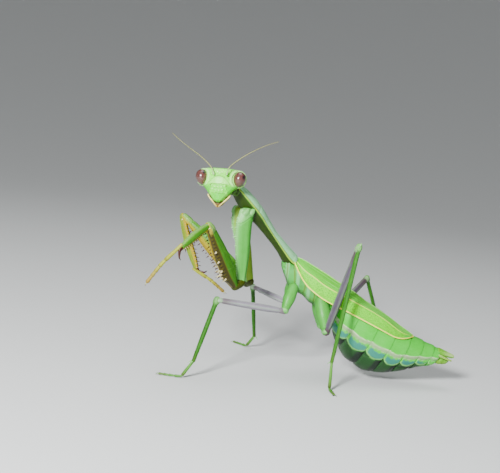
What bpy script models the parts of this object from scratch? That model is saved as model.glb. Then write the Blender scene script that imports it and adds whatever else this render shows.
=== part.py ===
"""A praying mantis, an adult female with short wings, standing with its forelegs raised.

Its left side is towards +X, its head towards -Y, and it stands on Z = 0. Lengths in this script are
millimetres, measured from the back edge of the pronotum, and become metres as each piece is made.
"""

import math

import bmesh
import bpy
from mathutils import Euler, Matrix, Vector

MM = 0.001

# Where the back edge of the pronotum stands, so that the origin is the middle of the base
BACK_EDGE = Vector((3.70, -2.91, 21.00))

GAP = 0.15  # between two pieces that meet, on each side of the joint's line
OVERLAP = 0.35  # a leg's segment runs this far past its joints, before it is cut back to the gap
TRUNK_SIDES = 8  # corners round a section's cage, before smoothing
LIMB_SIDES = 6
TOE_SIDES = 4

# The trunk: wings, abdomen and the two hind parts of the thorax
TRUNK_PITCH = 22.8  # head end up
TRUNK_ROLL = 5.0  # back turned towards +X
WING_LENGTH = 25.3
WING_THICKNESS = 0.5

# The long first segment of the thorax
PROTHORAX_LENGTH = 18.0
PROTHORAX_FRONT = Vector((6.11, -11.96, 11.98))
PROTHORAX_ROLL = 18.0

# The head
HEAD_CENTRE = Vector((9.00, -14.44, 11.64))
HEAD_TURN = 80.0  # from facing -Y, towards +X
HEAD_TILT = 6.0
HEAD_ROLL = 2.3  # left side raised
EYE_OFFSET = Vector((3.12, 1.41, 0.3))  # sideways, up and forwards from the head's centre
EYE_SIZE = Vector((1.02, 1.27, 1.30))
ANTENNA_RADIUS = 0.26
ANTENNA_DEPTH = 2.3  # in front of the head's centre
ANTENNAE = {
    "left": [
        (1.25, 2.04), (1.49, 2.93), (2.15, 3.77), (3.23, 4.65), (4.78, 5.73), (7.60, 7.23), (9.37, 7.89),
    ],
    "right": [
        (-0.90, 2.00), (-1.23, 2.80), (-2.31, 3.95), (-3.37, 4.77), (-5.11, 5.88), (-6.86, 7.07), (-8.26, 8.18),
    ],
}

# Joints of the raised forelegs: base and end of coxa, start of femur, knee, claw joint and tip of the foot
FORELEGS = {
    "left": [
        (5.8, -9.3, 7.9), (6.8, -9.3, -4.3), (7.8, -10.3, -4.8), (16.0, -15.9, 6.0),
        (20.3, -19.55, 2.7), (20.5, -24.55, -3.45),
    ],
    "right": [
        (3.3, -10.5, 8.1), (2.3, -7.6, -4.7), (1.7, -8.1, -5.1), (-1.5, -20.1, 5.1),
        (-1.5, -17.1, -3.8), (3.2, -11.9, -6.8),
    ],
}

# Joints of the walking legs: base of coxa, trochanter, knee, ankle, where the foot meets the ground, tip
FLOOR = -BACK_EDGE.z
SOLE = FLOOR + 0.24
WALKING_LEGS = {
    "middle_left": [
        (1.6, 0.1, -5.2), (3.6, -1.2, -9.1), (8.6, -13.1, -7.3), (9.6, -16.0, -17.8),
        (9.4, -17.8, SOLE), (8.5, -22.2, SOLE),
    ],
    "middle_right": [
        (-2.4, 0.2, -4.9), (-3.6, 0.0, -8.9), (-15.2, -5.9, -8.6), (-16.0, -4.6, -18.3),
        (-17.6, -5.8, SOLE), (-20.9, -8.6, SOLE),
    ],
    "hind_left": [
        (1.9, 5.2, -6.9), (4.2, 6.4, -12.1), (7.7, 9.8, 3.8), (8.8, 7.3, -16.0),
        (9.1, 7.4, SOLE), (12.6, 7.9, SOLE),
    ],
    "hind_right": [
        (-2.7, 5.2, -6.9), (-4.2, 6.5, -12.7), (-15.7, 15.8, -4.9), (-23.6, 21.4, -17.6),
        (-25.2, 22.8, SOLE), (-28.2, 25.4, SOLE),
    ],
}

COLOURS = {
    "face_green": (0.55, 0.82, 0.42, 0.45),
    "body_green": (0.38, 0.62, 0.30, 0.50),
    "eye_mauve": (0.36, 0.20, 0.22, 0.18),
    "feeler": (0.50, 0.56, 0.36, 0.60),
    "mouth_cream": (0.80, 0.72, 0.42, 0.45),
    "wing_green": (0.46, 0.74, 0.24, 0.50),
    "abdomen_green": (0.40, 0.68, 0.42, 0.50),
    "tail_yellow": (0.62, 0.72, 0.30, 0.50),
    "coxa_green": (0.42, 0.66, 0.38, 0.50),
    "raptor_green": (0.34, 0.58, 0.24, 0.48),
    "thigh_mauve": (0.42, 0.38, 0.46, 0.55),
    "shin_green": (0.34, 0.50, 0.24, 0.55),
    "foot_olive": (0.56, 0.52, 0.26, 0.60),
    "claw_red": (0.20, 0.05, 0.03, 0.30),
}


def finish(slot):
    """The slot's material, made once: its colour and roughness on a Principled shader."""
    found = bpy.data.materials.get(slot)
    if found:
        return found
    material = bpy.data.materials.new(slot)
    material.use_nodes = True
    red, green, blue, roughness = COLOURS[slot]
    shader = material.node_tree.nodes["Principled BSDF"]
    shader.inputs["Base Color"].default_value = (red, green, blue, 1.0)
    shader.inputs["Roughness"].default_value = roughness
    shader.inputs["Metallic"].default_value = 0.0
    return material


def axes(origin, side, along, up):
    """The frame whose X, Y and Z are these directions, at a place in millimetres."""
    turned = Matrix((side, along, up)).transposed().to_4x4()
    return Matrix.Translation((origin + BACK_EDGE) * MM) @ turned


def trunk_frame():
    """X to the left, Y towards the tail, Z out of the back."""
    turn = Euler((-math.radians(TRUNK_PITCH), 0.0, 0.0)).to_matrix() @ Euler(
        (0.0, math.radians(TRUNK_ROLL), 0.0)
    ).to_matrix()
    return axes(Vector(), turn.col[0], turn.col[1], turn.col[2])


def prothorax_frame():
    """X to the left, Y from the neck back along the pronotum, Z out of the back."""
    along = -PROTHORAX_FRONT.normalized()
    level = along.cross(Vector((0.0, 0.0, 1.0))).normalized()
    turn = Matrix.Rotation(math.radians(PROTHORAX_ROLL), 3, along)
    side = turn @ level
    return axes(PROTHORAX_FRONT, side, along, side.cross(along))


def head_frame():
    """X to the left, Y up to the crown, Z out of the face."""
    turn, tilt = math.radians(HEAD_TURN), math.radians(HEAD_TILT)
    face = Vector((math.sin(turn) * math.cos(tilt), -math.cos(turn) * math.cos(tilt), math.sin(tilt)))
    level = Vector((0.0, 0.0, 1.0)).cross(face).normalized()
    left = Matrix.Rotation(math.radians(HEAD_ROLL), 3, face) @ level
    return axes(HEAD_CENTRE, left, face.cross(left), face)


def leg_frame(start, end, up):
    """Y along a leg's segment from start to end, Z on the side that up names."""
    along = (end - start).normalized()
    side = along.cross(up).normalized()
    return axes(start, side, along, side.cross(along))


def settle(name, mesh, frame, slot, collection):
    """Puts a mesh in the scene as a named object with its material."""
    piece = bpy.data.objects.new(name, mesh)
    collection.objects.link(piece)
    piece.matrix_world = frame
    if not mesh.materials:
        mesh.materials.append(finish(slot))
    return piece


def ring(sides, along, half, low, high, middle):
    """A closed loop of points round one section, widest at the height called middle.

    One step of subdivision draws a cage's corners and edges inwards, so the loop starts that much larger.
    """
    corner_pull = (6.0 + 2.0 * math.cos(math.tau / sides)) / 8.0
    edge_pull = math.cos(math.pi / sides)
    larger = 2.0 / (corner_pull + edge_pull)
    points = []
    for step in range(sides):
        angle = math.tau * (step + 0.5) / sides
        reach = high - middle if math.sin(angle) > 0.0 else middle - low
        x = larger * half * math.cos(angle)
        z = middle + larger * reach * math.sin(angle)
        points.append(Vector((x, along, z)) * MM)
    return points


def soft_form(name, frame, stations, slot, sides=LIMB_SIDES):
    """A smooth body through sections along Y: (y, half width, lowest, highest, height of the widest)."""
    cage = bmesh.new()
    loops = []
    for along, half, low, high, *widest in stations:
        middle = widest[0] if widest else (low + high) / 2.0
        loops.append([cage.verts.new(p) for p in ring(sides, along, half, low, high, middle)])
    for near, far in zip(loops, loops[1:]):
        for step in range(sides):
            after = (step + 1) % sides
            cage.faces.new((near[step], near[after], far[after], far[step]))
    cage.faces.new(reversed(loops[0]))
    cage.faces.new(loops[-1])
    bmesh.ops.recalc_face_normals(cage, faces=cage.faces)
    mesh = bpy.data.meshes.new(name)
    cage.to_mesh(mesh)
    cage.free()
    mesh.shade_smooth()
    piece = settle(name, mesh, frame, slot, INSECT)
    smoothing = piece.modifiers.new("smooth", "SUBSURF")
    smoothing.levels = smoothing.render_levels = 1
    return piece


def hide(piece):
    """Marks an object as a guide, which isn't part of the model."""
    piece.hide_render = True
    piece.display_type = "WIRE"
    return piece


def swollen(piece, gap):
    """A guide in a piece's own shape, grown outwards by gap."""
    guide = piece.copy()
    guide.name = piece.name + "_room"
    GUIDES.objects.link(guide)
    for modifier in list(guide.modifiers):
        if modifier.type == "BOOLEAN":
            guide.modifiers.remove(modifier)
    shell = guide.modifiers.get("thickness")
    if shell:
        shell.thickness += gap * MM
        return hide(guide)
    growth = guide.modifiers.new("room", "DISPLACE")
    growth.strength = gap * MM
    growth.mid_level = 0.0
    return hide(guide)


def make_room(piece, *neighbours, gap=2.0 * GAP):
    """Cuts a piece back so that it keeps its gap to its neighbours."""
    for neighbour in neighbours:
        cut = piece.modifiers.new("room_for_" + neighbour.name, "BOOLEAN")
        cut.operation = "DIFFERENCE"
        cut.solver = "EXACT"
        cut.object = swollen(neighbour, gap)


def fan_of_spines(name, frame, spines):
    """A guide that holds cones: each has its base, its direction, its length and its base radius."""
    cones = bmesh.new()
    for base, direction, length, radius in spines:
        turn = Vector((0.0, 0.0, 1.0)).rotation_difference(direction.normalized()).to_matrix().to_4x4()
        middle = Matrix.Translation((base + direction.normalized() * length / 2.0) * MM)
        bmesh.ops.create_cone(
            cones, cap_ends=True, segments=5, radius1=radius * MM, radius2=0.12 * MM,
            depth=length * MM, matrix=middle @ turn,
        )
    mesh = bpy.data.meshes.new(name)
    cones.to_mesh(mesh)
    cones.free()
    guide = bpy.data.objects.new(name, mesh)
    GUIDES.objects.link(guide)
    guide.matrix_world = frame
    return hide(guide)


def grow_spines(piece, spines):
    """Joins cones to a leg's segment, in the segment's own frame."""
    joined = piece.modifiers.new("spines", "BOOLEAN")
    joined.operation = "UNION"
    joined.solver = "EXACT"
    joined.object = fan_of_spines(piece.name + "_spines", piece.matrix_world, spines)


def head(frame):
    """The triangular capsule, from the lip up to the flat crown."""
    return soft_form("head", frame, [
        (-2.50, 0.45, 0.90, 1.65, 1.25),
        (-1.80, 1.20, 0.20, 1.85, 1.00),
        (-0.70, 2.15, -0.80, 1.95, 0.30),
        (0.20, 2.95, -1.40, 2.00, -0.30),
        (1.20, 3.60, -1.75, 1.90, -0.85),
        (2.50, 3.10, -1.65, 1.55, -0.70),
        (3.10, 2.00, -1.20, 0.95, -0.20),
    ], "face_green", TRUNK_SIDES)


def mouthparts(frame):
    """The jaws and lower lip, a narrow wedge under and behind the upper lip."""
    return soft_form("mouthparts", frame, [
        (-3.45, 0.22, 0.65, 1.20),
        (-2.70, 0.85, 0.20, 1.25),
        (-1.70, 1.60, -0.50, 0.95),
        (-0.80, 1.70, -1.10, 0.50),
    ], "mouth_cream")


def eye(name, frame, hand):
    """One bulging eye, an egg with its long axis upright."""
    ball = bmesh.new()
    bmesh.ops.create_uvsphere(ball, u_segments=12, v_segments=8, radius=MM)
    mesh = bpy.data.meshes.new(name)
    ball.to_mesh(mesh)
    ball.free()
    mesh.transform(Matrix.Diagonal((EYE_SIZE.x, EYE_SIZE.y, EYE_SIZE.z, 1.0)))
    mesh.shade_smooth()
    place = Vector((hand * EYE_OFFSET.x, EYE_OFFSET.y, EYE_OFFSET.z)) * MM
    lean = Matrix.Rotation(hand * math.radians(-10.0), 4, "Z")
    return settle(name, mesh, frame @ Matrix.Translation(place) @ lean, "eye_mauve", INSECT)


def antenna(name, frame, route):
    """A feeler: up from the brow, then out to the side in one curve."""
    line = bpy.data.curves.new(name, "CURVE")
    line.dimensions = "3D"
    line.bevel_depth = ANTENNA_RADIUS * MM
    line.bevel_resolution = 1
    line.use_fill_caps = True
    spline = line.splines.new("POLY")
    spline.points.add(len(route) - 1)
    for point, (x, y) in zip(spline.points, route):
        point.co = (x * MM, y * MM, ANTENNA_DEPTH * MM, 1.0)
    return settle(name, line, frame, "feeler", INSECT)


def neck(name):
    """The soft neck from the back of the head to the pronotum."""
    face = head_frame().col[2].to_3d()
    start = HEAD_CENTRE - face * 1.2
    end = PROTHORAX_FRONT * 0.97
    frame = leg_frame(start, end, Vector((0.0, 0.0, 1.0)))
    length = (end - start).length
    return soft_form(name, frame, [
        (0.0, 0.95, -0.95, 0.75),
        (length * 0.5, 0.85, -0.90, 0.65),
        (length, 0.85, -0.90, 0.65),
    ], "body_green")


def prothorax(frame):
    """The long neck-like segment, broadest over the forelegs and sagging a little in the middle."""
    return soft_form("prothorax", frame, [
        (0.0, 0.95, -0.65, 0.60, 0.15),
        (1.3, 1.35, -1.50, 0.95, 0.10),
        (4.4, 1.74, -2.00, 1.20, 0.10),
        (7.0, 1.64, -1.84, 1.05, 0.00),
        (9.0, 1.22, -1.72, 0.72, -0.25),
        (12.5, 1.02, -1.76, 0.30, -0.60),
        (17.1, 1.42, -2.25, 0.38, -1.00),
        (PROTHORAX_LENGTH, 1.25, -1.90, 0.15, -0.80),
    ], "body_green", TRUNK_SIDES)


def mesothorax(frame):
    """The part that carries the middle legs and the forewings."""
    return soft_form("mesothorax", frame, [
        (-1.6, 0.75, -2.20, -0.90, -1.50),
        (-0.2, 1.70, -3.80, -0.45, -2.00),
        (1.9, 2.20, -5.40, -0.35, -2.50),
        (4.2, 2.20, -5.40, -0.45, -2.80),
    ], "body_green", TRUNK_SIDES)


def metathorax(frame):
    """The part that carries the hind legs."""
    return soft_form("metathorax", frame, [
        (4.3, 2.25, -5.20, -0.55, -2.90),
        (6.4, 2.45, -5.95, -0.65, -3.15),
        (8.8, 2.20, -5.60, -0.90, -3.20),
    ], "body_green", TRUNK_SIDES)


def abdomen(frame):
    """The deep, egg-filled abdomen, tapering to the tail."""
    return soft_form("abdomen", frame, [
        (8.8, 2.00, -5.60, -1.10, -3.20),
        (10.6, 3.05, -6.80, -1.10, -3.80),
        (13.4, 4.00, -9.40, -1.40, -4.80),
        (17.0, 4.35, -11.60, -1.80, -5.50),
        (20.6, 4.30, -12.00, -2.15, -5.60),
        (24.0, 3.80, -10.70, -2.40, -5.30),
        (27.0, 2.95, -8.60, -2.40, -4.70),
        (29.4, 2.05, -6.60, -2.30, -4.05),
        (31.3, 1.35, -5.10, -2.20, -3.50),
    ], "abdomen_green", TRUNK_SIDES)


def ovipositor(frame):
    """The blunt valves under the tip of the abdomen."""
    return soft_form("ovipositor", frame, [
        (30.6, 0.85, -5.00, -3.20),
        (32.0, 0.80, -4.55, -3.00),
        (33.3, 0.50, -3.85, -2.90),
    ], "tail_yellow")


def tail_plate(frame):
    """The pointed plate that closes the back over the valves."""
    return soft_form("tail_plate", frame, [
        (30.6, 1.10, -3.20, -2.10),
        (32.0, 0.85, -3.00, -2.05),
        (33.8, 0.27, -2.60, -2.00),
    ], "tail_yellow")


def cercus(name, frame, hand):
    """A short tapering feeler at the tail."""
    root = frame @ Matrix.Translation(Vector((hand * 1.15, 30.9, -3.1)) * MM)
    splay = Matrix.Rotation(hand * math.radians(-12.0), 4, "Z")
    return soft_form(name, root @ splay, [
        (0.0, 0.30, -0.30, 0.30),
        (1.2, 0.32, -0.32, 0.32),
        (2.6, 0.26, -0.26, 0.26),
    ], "tail_yellow", TOE_SIDES)


def wing_point(share, across):
    """A point on the left forewing: share runs from base to tip, across from the midline to the edge."""
    along = WING_LENGTH * share
    spread = min(1.0, 1.35 * share + 0.30) * 4.5
    tip = max(0.0, (share - 0.80) / 0.20)
    edge = 0.4 + (spread - 0.4) * math.sqrt(max(0.0, 1.0 - tip ** 2))
    crest = 0.22 - 0.6 * share - 2.0 * share ** 2 * 0.95
    drop = 3.45 * math.sin(min(1.0, share / 0.26) * math.pi / 2.0)
    droop = 0.10 + (drop - 0.1 + 0.6 * share) * math.sqrt(max(0.0, 1.0 - tip ** 2.5))
    low = min(crest - 0.15, 0.05 - droop)
    corner_x, corner_z = edge * 0.96, crest - 0.15
    near, bend, far = (1.0 - across) ** 2, 2.0 * across * (1.0 - across), across ** 2
    x = near * GAP + bend * corner_x + far * edge
    z = near * crest + bend * corner_z + far * low
    return Vector((x, along, z))


def forewing(name, frame, hand):
    """A leathery forewing, roofed over the abdomen from the midline down to its outer edge."""
    lengthways, crossways = 11, 4
    sheet = bmesh.new()
    grid = []
    for i in range(lengthways + 1):
        row = []
        for j in range(crossways + 1):
            point = wing_point(i / lengthways, j / crossways) * MM
            row.append(sheet.verts.new((hand * point.x, point.y, point.z)))
        grid.append(row)
    for near, far in zip(grid, grid[1:]):
        for j in range(crossways):
            corners = (near[j], near[j + 1], far[j + 1], far[j])
            sheet.faces.new(corners if hand < 0 else reversed(corners))
    mesh = bpy.data.meshes.new(name)
    sheet.to_mesh(mesh)
    sheet.free()
    mesh.shade_smooth()
    piece = settle(name, mesh, frame, "wing_green", INSECT)
    shell = piece.modifiers.new("thickness", "SOLIDIFY")
    shell.thickness = WING_THICKNESS * MM
    shell.offset = -1.0
    return piece


def spine_row(count, start, end, drop, length, radius, side=0.0, lean=0.25):
    """Cones in a row along a segment, pointing to its underside and a little forwards."""
    row = []
    for step in range(count):
        share = step / (count - 1)
        base = Vector((side, start + (end - start) * share, drop[0] + (drop[1] - drop[0]) * share))
        row.append((base, Vector((0.35 * side, lean, -1.0)), length, radius))
    return row


def foreleg(side, joints):
    """The six pieces of a raised foreleg: coxa, trochanter, femur, tibia, its claw and the foot."""
    base, elbow, hip, knee, wrist, toe = [Vector(joint) for joint in joints]
    thigh = (knee - hip).normalized()
    fold = (wrist - knee) - thigh * thigh.dot(wrist - knee)
    fold.normalize()
    forward = prothorax_frame().col[1].to_3d() * -1.0

    coxa = soft_form(f"fore_coxa_{side}", leg_frame(base, elbow, -forward), [
        (0.1, 0.75, -1.20, 0.70),
        (2.2, 0.95, -1.95, 0.78),
        (6.8, 0.80, -1.60, 0.92),
        (10.8, 0.62, -0.80, 0.72),
        ((elbow - base).length, 0.55, -0.60, 0.55),
    ], "coxa_green")

    bend = (hip - elbow).length
    trochanter = soft_form(f"fore_trochanter_{side}", leg_frame(elbow, hip, forward), [
        (-0.3, 0.62, -0.70, 0.70),
        (bend * 0.5, 0.74, -0.84, 0.84),
        (bend + 0.3, 0.62, -0.70, 0.70),
    ], "coxa_green", TOE_SIDES)

    length = (knee - hip).length
    femur = soft_form(f"fore_femur_{side}", leg_frame(hip, knee, -fold), [
        (-0.4, 0.50, -0.60, 0.50),
        (1.2, 0.65, -1.15, 0.85),
        (3.4, 0.84, -1.85, 1.40),
        (7.0, 0.82, -1.65, 1.42),
        (11.5, 0.70, -1.05, 1.15),
        (14.0, 0.60, -0.60, 0.80),
        (length, 0.40, -0.25, 0.55),
    ], "raptor_green")
    grow_spines(femur, spine_row(4, 4.2, 10.2, (-1.35, -0.80), 1.10, 0.30, side=0.35))

    hinge = knee + fold * 0.40 - thigh * 0.1
    shin = (wrist - hinge).length
    shank = leg_frame(hinge, wrist, thigh)
    back = shank.col[2].to_3d()
    tibia = soft_form(f"fore_tibia_{side}", shank, [
        (0.0, 0.36, -0.42, 0.45),
        (shin * 0.16, 0.42, -0.42, 0.62),
        (shin * 0.42, 0.50, -0.50, 0.78),
        (shin * 0.72, 0.48, -0.55, 0.70),
        (shin, 0.36, -0.42, 0.35),
    ], "raptor_green")
    grow_spines(tibia, spine_row(4, shin * 0.32, shin * 0.77, (-0.28, -0.30), 0.70, 0.24, side=0.03))

    reach = (wrist - hinge).normalized()
    hook_start = wrist + reach * 0.35 - back * 0.10
    hook_end = hook_start + reach * 0.70 - back * 1.70
    claw = soft_form(f"fore_claw_{side}", leg_frame(hook_start, hook_end, reach), [
        (0.0, 0.30, -0.30, 0.30),
        (0.9, 0.27, -0.15, 0.40),
        (1.9, 0.25, -0.25, 0.25),
    ], "claw_red", TOE_SIDES)

    ankle = wrist + reach * 0.35 + back * 0.40
    foot = (toe - ankle).length
    tarsus = soft_form(f"fore_tarsus_{side}", leg_frame(ankle, toe, back), [
        (-0.20, 0.36, -0.36, 0.36),
        (foot * 0.45, 0.28, -0.28, 0.28),
        (foot, 0.25, -0.25, 0.25),
    ], "foot_olive", TOE_SIDES)
    make_room(tibia, femur)
    make_room(claw, tibia)
    make_room(tarsus, tibia, claw)
    make_room(trochanter, coxa, femur)
    make_room(femur, coxa)
    return coxa


def walking_leg(name, joints, thickness):
    """The five pieces of a walking leg: coxa, femur, tibia, instep and a foot that lies flat on the ground."""
    base, trochanter, knee, ankle, heel, toe = [Vector(joint) for joint in joints]
    up = Vector((0.0, 0.0, 1.0))
    back = Vector((0.0, 1.0, 0.0))

    def segment(part, start, end, stations, slot, hint=back, sides=LIMB_SIDES):
        reach = (end - start).length + 2.0 * OVERLAP
        rows = [(share * reach - OVERLAP, half, -half, half) for share, half in stations]
        return soft_form(f"{part}_{name}", leg_frame(start, end, hint), rows, slot, sides)

    coxa = segment("coxa", base, trochanter, [
        (0.00, 1.05 * thickness), (0.45, 1.25 * thickness), (1.00, 0.62),
    ], "coxa_green")
    femur = segment("femur", trochanter, knee, [
        (0.00, 0.50), (0.08, 0.62 * thickness), (0.40, 0.70 * thickness),
        (0.92, 0.56 * thickness), (1.00, 0.52 * thickness),
    ], "thigh_mauve")
    tibia = segment("tibia", knee, ankle, [
        (0.03, 0.44), (0.50, 0.42), (1.00, 0.36),
    ], "shin_green", sides=TOE_SIDES)
    instep = segment("instep", ankle, heel, [
        (0.00, 0.36), (0.50, 0.30), (1.00, 0.34),
    ], "foot_olive", sides=TOE_SIDES)
    foot = segment("foot", heel, toe, [
        (0.00, 0.36), (0.50, 0.30), (1.00, 0.32),
    ], "foot_olive", up, TOE_SIDES)
    make_room(femur, coxa)
    make_room(tibia, femur)
    make_room(instep, tibia)
    make_room(instep, foot)
    cut = foot.modifiers.new("sole", "BOOLEAN")
    cut.operation = "DIFFERENCE"
    cut.solver = "EXACT"
    cut.object = ground()
    return coxa


def ground():
    """The guide that gives every foot its flat sole at Z = 0."""
    found = bpy.data.objects.get("ground")
    if found:
        return found
    slab = bmesh.new()
    bmesh.ops.create_cube(slab, size=1.0)
    mesh = bpy.data.meshes.new("ground")
    slab.to_mesh(mesh)
    slab.free()
    mesh.transform(Matrix.Translation((0.0, 0.0, -5.0 * MM)) @ Matrix.Diagonal((0.1, 0.1, 0.01, 1.0)))
    guide = bpy.data.objects.new("ground", mesh)
    GUIDES.objects.link(guide)
    return hide(guide)


def build():
    """Makes every piece, front to back, and cuts each one back from what it meets."""
    face = head_frame()
    capsule = head(face)
    jaws = mouthparts(face)
    for hand, side in ((1.0, "left"), (-1.0, "right")):
        ball = eye(f"eye_{side}", face, hand)
        make_room(capsule, ball)
        antenna(f"antenna_{side}", face, ANTENNAE[side])
    make_room(jaws, capsule)

    chest = prothorax(prothorax_frame())
    collar = neck("neck")
    make_room(collar, capsule, chest, jaws)

    trunk = trunk_frame()
    middle, rear = mesothorax(trunk), metathorax(trunk)
    belly = abdomen(trunk)
    wings = [forewing("forewing_left", trunk, 1.0), forewing("forewing_right", trunk, -1.0)]
    plate, valves = tail_plate(trunk), ovipositor(trunk)
    tails = [cercus("cercus_left", trunk, 1.0), cercus("cercus_right", trunk, -1.0)]
    for wing in wings:
        make_room(wing, chest)
    make_room(middle, chest, *wings)
    make_room(rear, middle, *wings)
    make_room(belly, rear, *wings)
    make_room(plate, belly)
    make_room(valves, belly, plate)
    for tail in tails:
        make_room(tail, belly, plate, valves)

    for side, joints in FORELEGS.items():
        make_room(chest, foreleg(side, joints))
    for name, joints in WALKING_LEGS.items():
        hip = walking_leg(name, joints, 1.0 if name.startswith("hind") else 0.8)
        make_room(rear if name.startswith("hind") else middle, hip)
        make_room(belly, hip)


for old in list(bpy.data.objects):
    bpy.data.objects.remove(old)
INSECT = bpy.data.collections.new("praying_mantis")
GUIDES = bpy.data.collections.new("guides")
bpy.context.scene.collection.children.link(INSECT)
bpy.context.scene.collection.children.link(GUIDES)
build()
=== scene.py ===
import math

import bpy
import numpy as np
from mathutils import Matrix

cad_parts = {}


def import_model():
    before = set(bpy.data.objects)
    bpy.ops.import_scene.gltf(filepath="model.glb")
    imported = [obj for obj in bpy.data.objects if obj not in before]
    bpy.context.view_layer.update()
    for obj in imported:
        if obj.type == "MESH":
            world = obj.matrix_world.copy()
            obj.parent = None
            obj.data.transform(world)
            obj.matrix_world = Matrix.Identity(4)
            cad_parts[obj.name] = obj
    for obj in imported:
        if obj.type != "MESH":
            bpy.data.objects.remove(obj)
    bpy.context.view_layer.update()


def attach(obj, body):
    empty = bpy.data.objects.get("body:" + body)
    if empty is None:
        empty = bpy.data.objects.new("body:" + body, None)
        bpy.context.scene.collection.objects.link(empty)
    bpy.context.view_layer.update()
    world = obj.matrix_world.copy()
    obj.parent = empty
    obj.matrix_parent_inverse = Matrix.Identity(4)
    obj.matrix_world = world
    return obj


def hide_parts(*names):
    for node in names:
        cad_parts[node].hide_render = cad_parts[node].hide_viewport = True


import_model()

# ---------------------------------------------------------------------------------------------------------
# The insect's own frames. Lengths are in millimetres from the back edge of the pronotum.
# ---------------------------------------------------------------------------------------------------------

MM = 0.001
TAU = math.tau
GOLDEN_ANGLE = 2.399963
BACK_EDGE = np.array((3.70, -2.91, 21.00))
PROTHORAX_FRONT = np.array((6.11, -11.96, 11.98))
HEAD_CENTRE = np.array((9.00, -14.44, 11.64))
EYE_OFFSET = np.array((3.12, 1.41, 0.3))
EYE_SIZE = np.array((1.02, 1.27, 1.30))
SOLE = -BACK_EDGE[2] + 0.24

FORELEGS = {
    "left": ((5.8, -9.3, 7.9), (6.8, -9.3, -4.3), (7.8, -10.3, -4.8), (16.0, -15.9, 6.0),
             (20.3, -19.55, 2.7), (20.5, -24.55, -3.45)),
    "right": ((3.3, -10.5, 8.1), (2.3, -7.6, -4.7), (1.7, -8.1, -5.1), (-1.5, -20.1, 5.1),
              (-1.5, -17.1, -3.8), (3.2, -11.9, -6.8)),
}
WALKING_LEGS = {
    "middle_left": ((1.6, 0.1, -5.2), (3.6, -1.2, -9.1), (8.6, -13.1, -7.3), (9.6, -16.0, -17.8),
                    (9.4, -17.8, SOLE), (8.5, -22.2, SOLE)),
    "middle_right": ((-2.4, 0.2, -4.9), (-3.6, 0.0, -8.9), (-15.2, -5.9, -8.6), (-16.0, -4.6, -18.3),
                     (-17.6, -5.8, SOLE), (-20.9, -8.6, SOLE)),
    "hind_left": ((1.9, 5.2, -6.9), (4.2, 6.4, -12.1), (7.7, 9.8, 3.8), (8.8, 7.3, -16.0),
                  (9.1, 7.4, SOLE), (12.6, 7.9, SOLE)),
    "hind_right": ((-2.7, 5.2, -6.9), (-4.2, 6.5, -12.7), (-15.7, 15.8, -4.9), (-23.6, 21.4, -17.6),
                   (-25.2, 22.8, SOLE), (-28.2, 25.4, SOLE)),
}
FEELERS = {
    "left": ((1.25, 2.04), (1.49, 2.93), (2.15, 3.77), (3.23, 4.65), (4.78, 5.73), (7.60, 7.23),
             (9.37, 7.89)),
    "right": ((-0.90, 2.00), (-1.23, 2.80), (-2.31, 3.95), (-3.37, 4.77), (-5.11, 5.88), (-6.86, 7.07),
              (-8.26, 8.18)),
}


def unit(v):
    """v over its own length."""
    return v / np.linalg.norm(v, axis=-1, keepdims=True)


def turned(axis, degrees):
    """The turn about an axis, as Rodrigues has it: cos·I + sin·[axis]x + (1 - cos)·axis axisT."""
    x, y, z = unit(np.asarray(axis, float))
    c, s = math.cos(math.radians(degrees)), math.sin(math.radians(degrees))
    cross = np.array(((0.0, -z, y), (z, 0.0, -x), (-y, x, 0.0)))
    return c * np.eye(3) + s * cross + (1.0 - c) * np.outer((x, y, z), (x, y, z))


def trunk_place():
    """X to the left, Y to the tail, Z out of the back: pitched head up by 22.8 degrees, rolled by 5."""
    return np.zeros(3), turned((1, 0, 0), -22.8) @ turned((0, 1, 0), 5.0)


def prothorax_place():
    """X to the left, Y from the neck back along the pronotum, Z out of the back."""
    along = -unit(PROTHORAX_FRONT)
    level = unit(np.cross(along, (0.0, 0.0, 1.0)))
    side = turned(along, 18.0) @ level
    return PROTHORAX_FRONT, np.stack((side, along, np.cross(side, along)), axis=1)


def head_place():
    """X to the left, Y up to the crown, Z out of the face."""
    turn, tilt = math.radians(80.0), math.radians(6.0)
    face = np.array((math.sin(turn) * math.cos(tilt), -math.cos(turn) * math.cos(tilt), math.sin(tilt)))
    left = turned(face, 2.3) @ unit(np.cross((0.0, 0.0, 1.0), face))
    return HEAD_CENTRE, np.stack((left, np.cross(face, left), face), axis=1)


def limb_place(start, end, up):
    """Y from start to end, Z on the side that up names."""
    start, end = np.asarray(start, float), np.asarray(end, float)
    along = unit(end - start)
    side = unit(np.cross(along, up))
    return start, np.stack((side, along, np.cross(side, along)), axis=1)


def world(place, x, y, z):
    """Places in a piece's own frame, in millimetres, as places in the row's frame in metres."""
    origin, turn = place
    local = np.stack(np.broadcast_arrays(x, y, z), axis=-1)
    return (local @ turn.T + origin + BACK_EDGE) * MM


# ---------------------------------------------------------------------------------------------------------
# Shapes of one number
# ---------------------------------------------------------------------------------------------------------


def ramp(x, low, high):
    """0 before low, 1 after high, and t·t·(3 - 2t) between."""
    t = np.clip((x - low) / (high - low), 0.0, 1.0)
    return t * t * (3.0 - 2.0 * t)


def ridge(x, at, width):
    """A bell of height 1: exp(-((x - at) / width) squared)."""
    return np.exp(-(((x - at) / width) ** 2))


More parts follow.
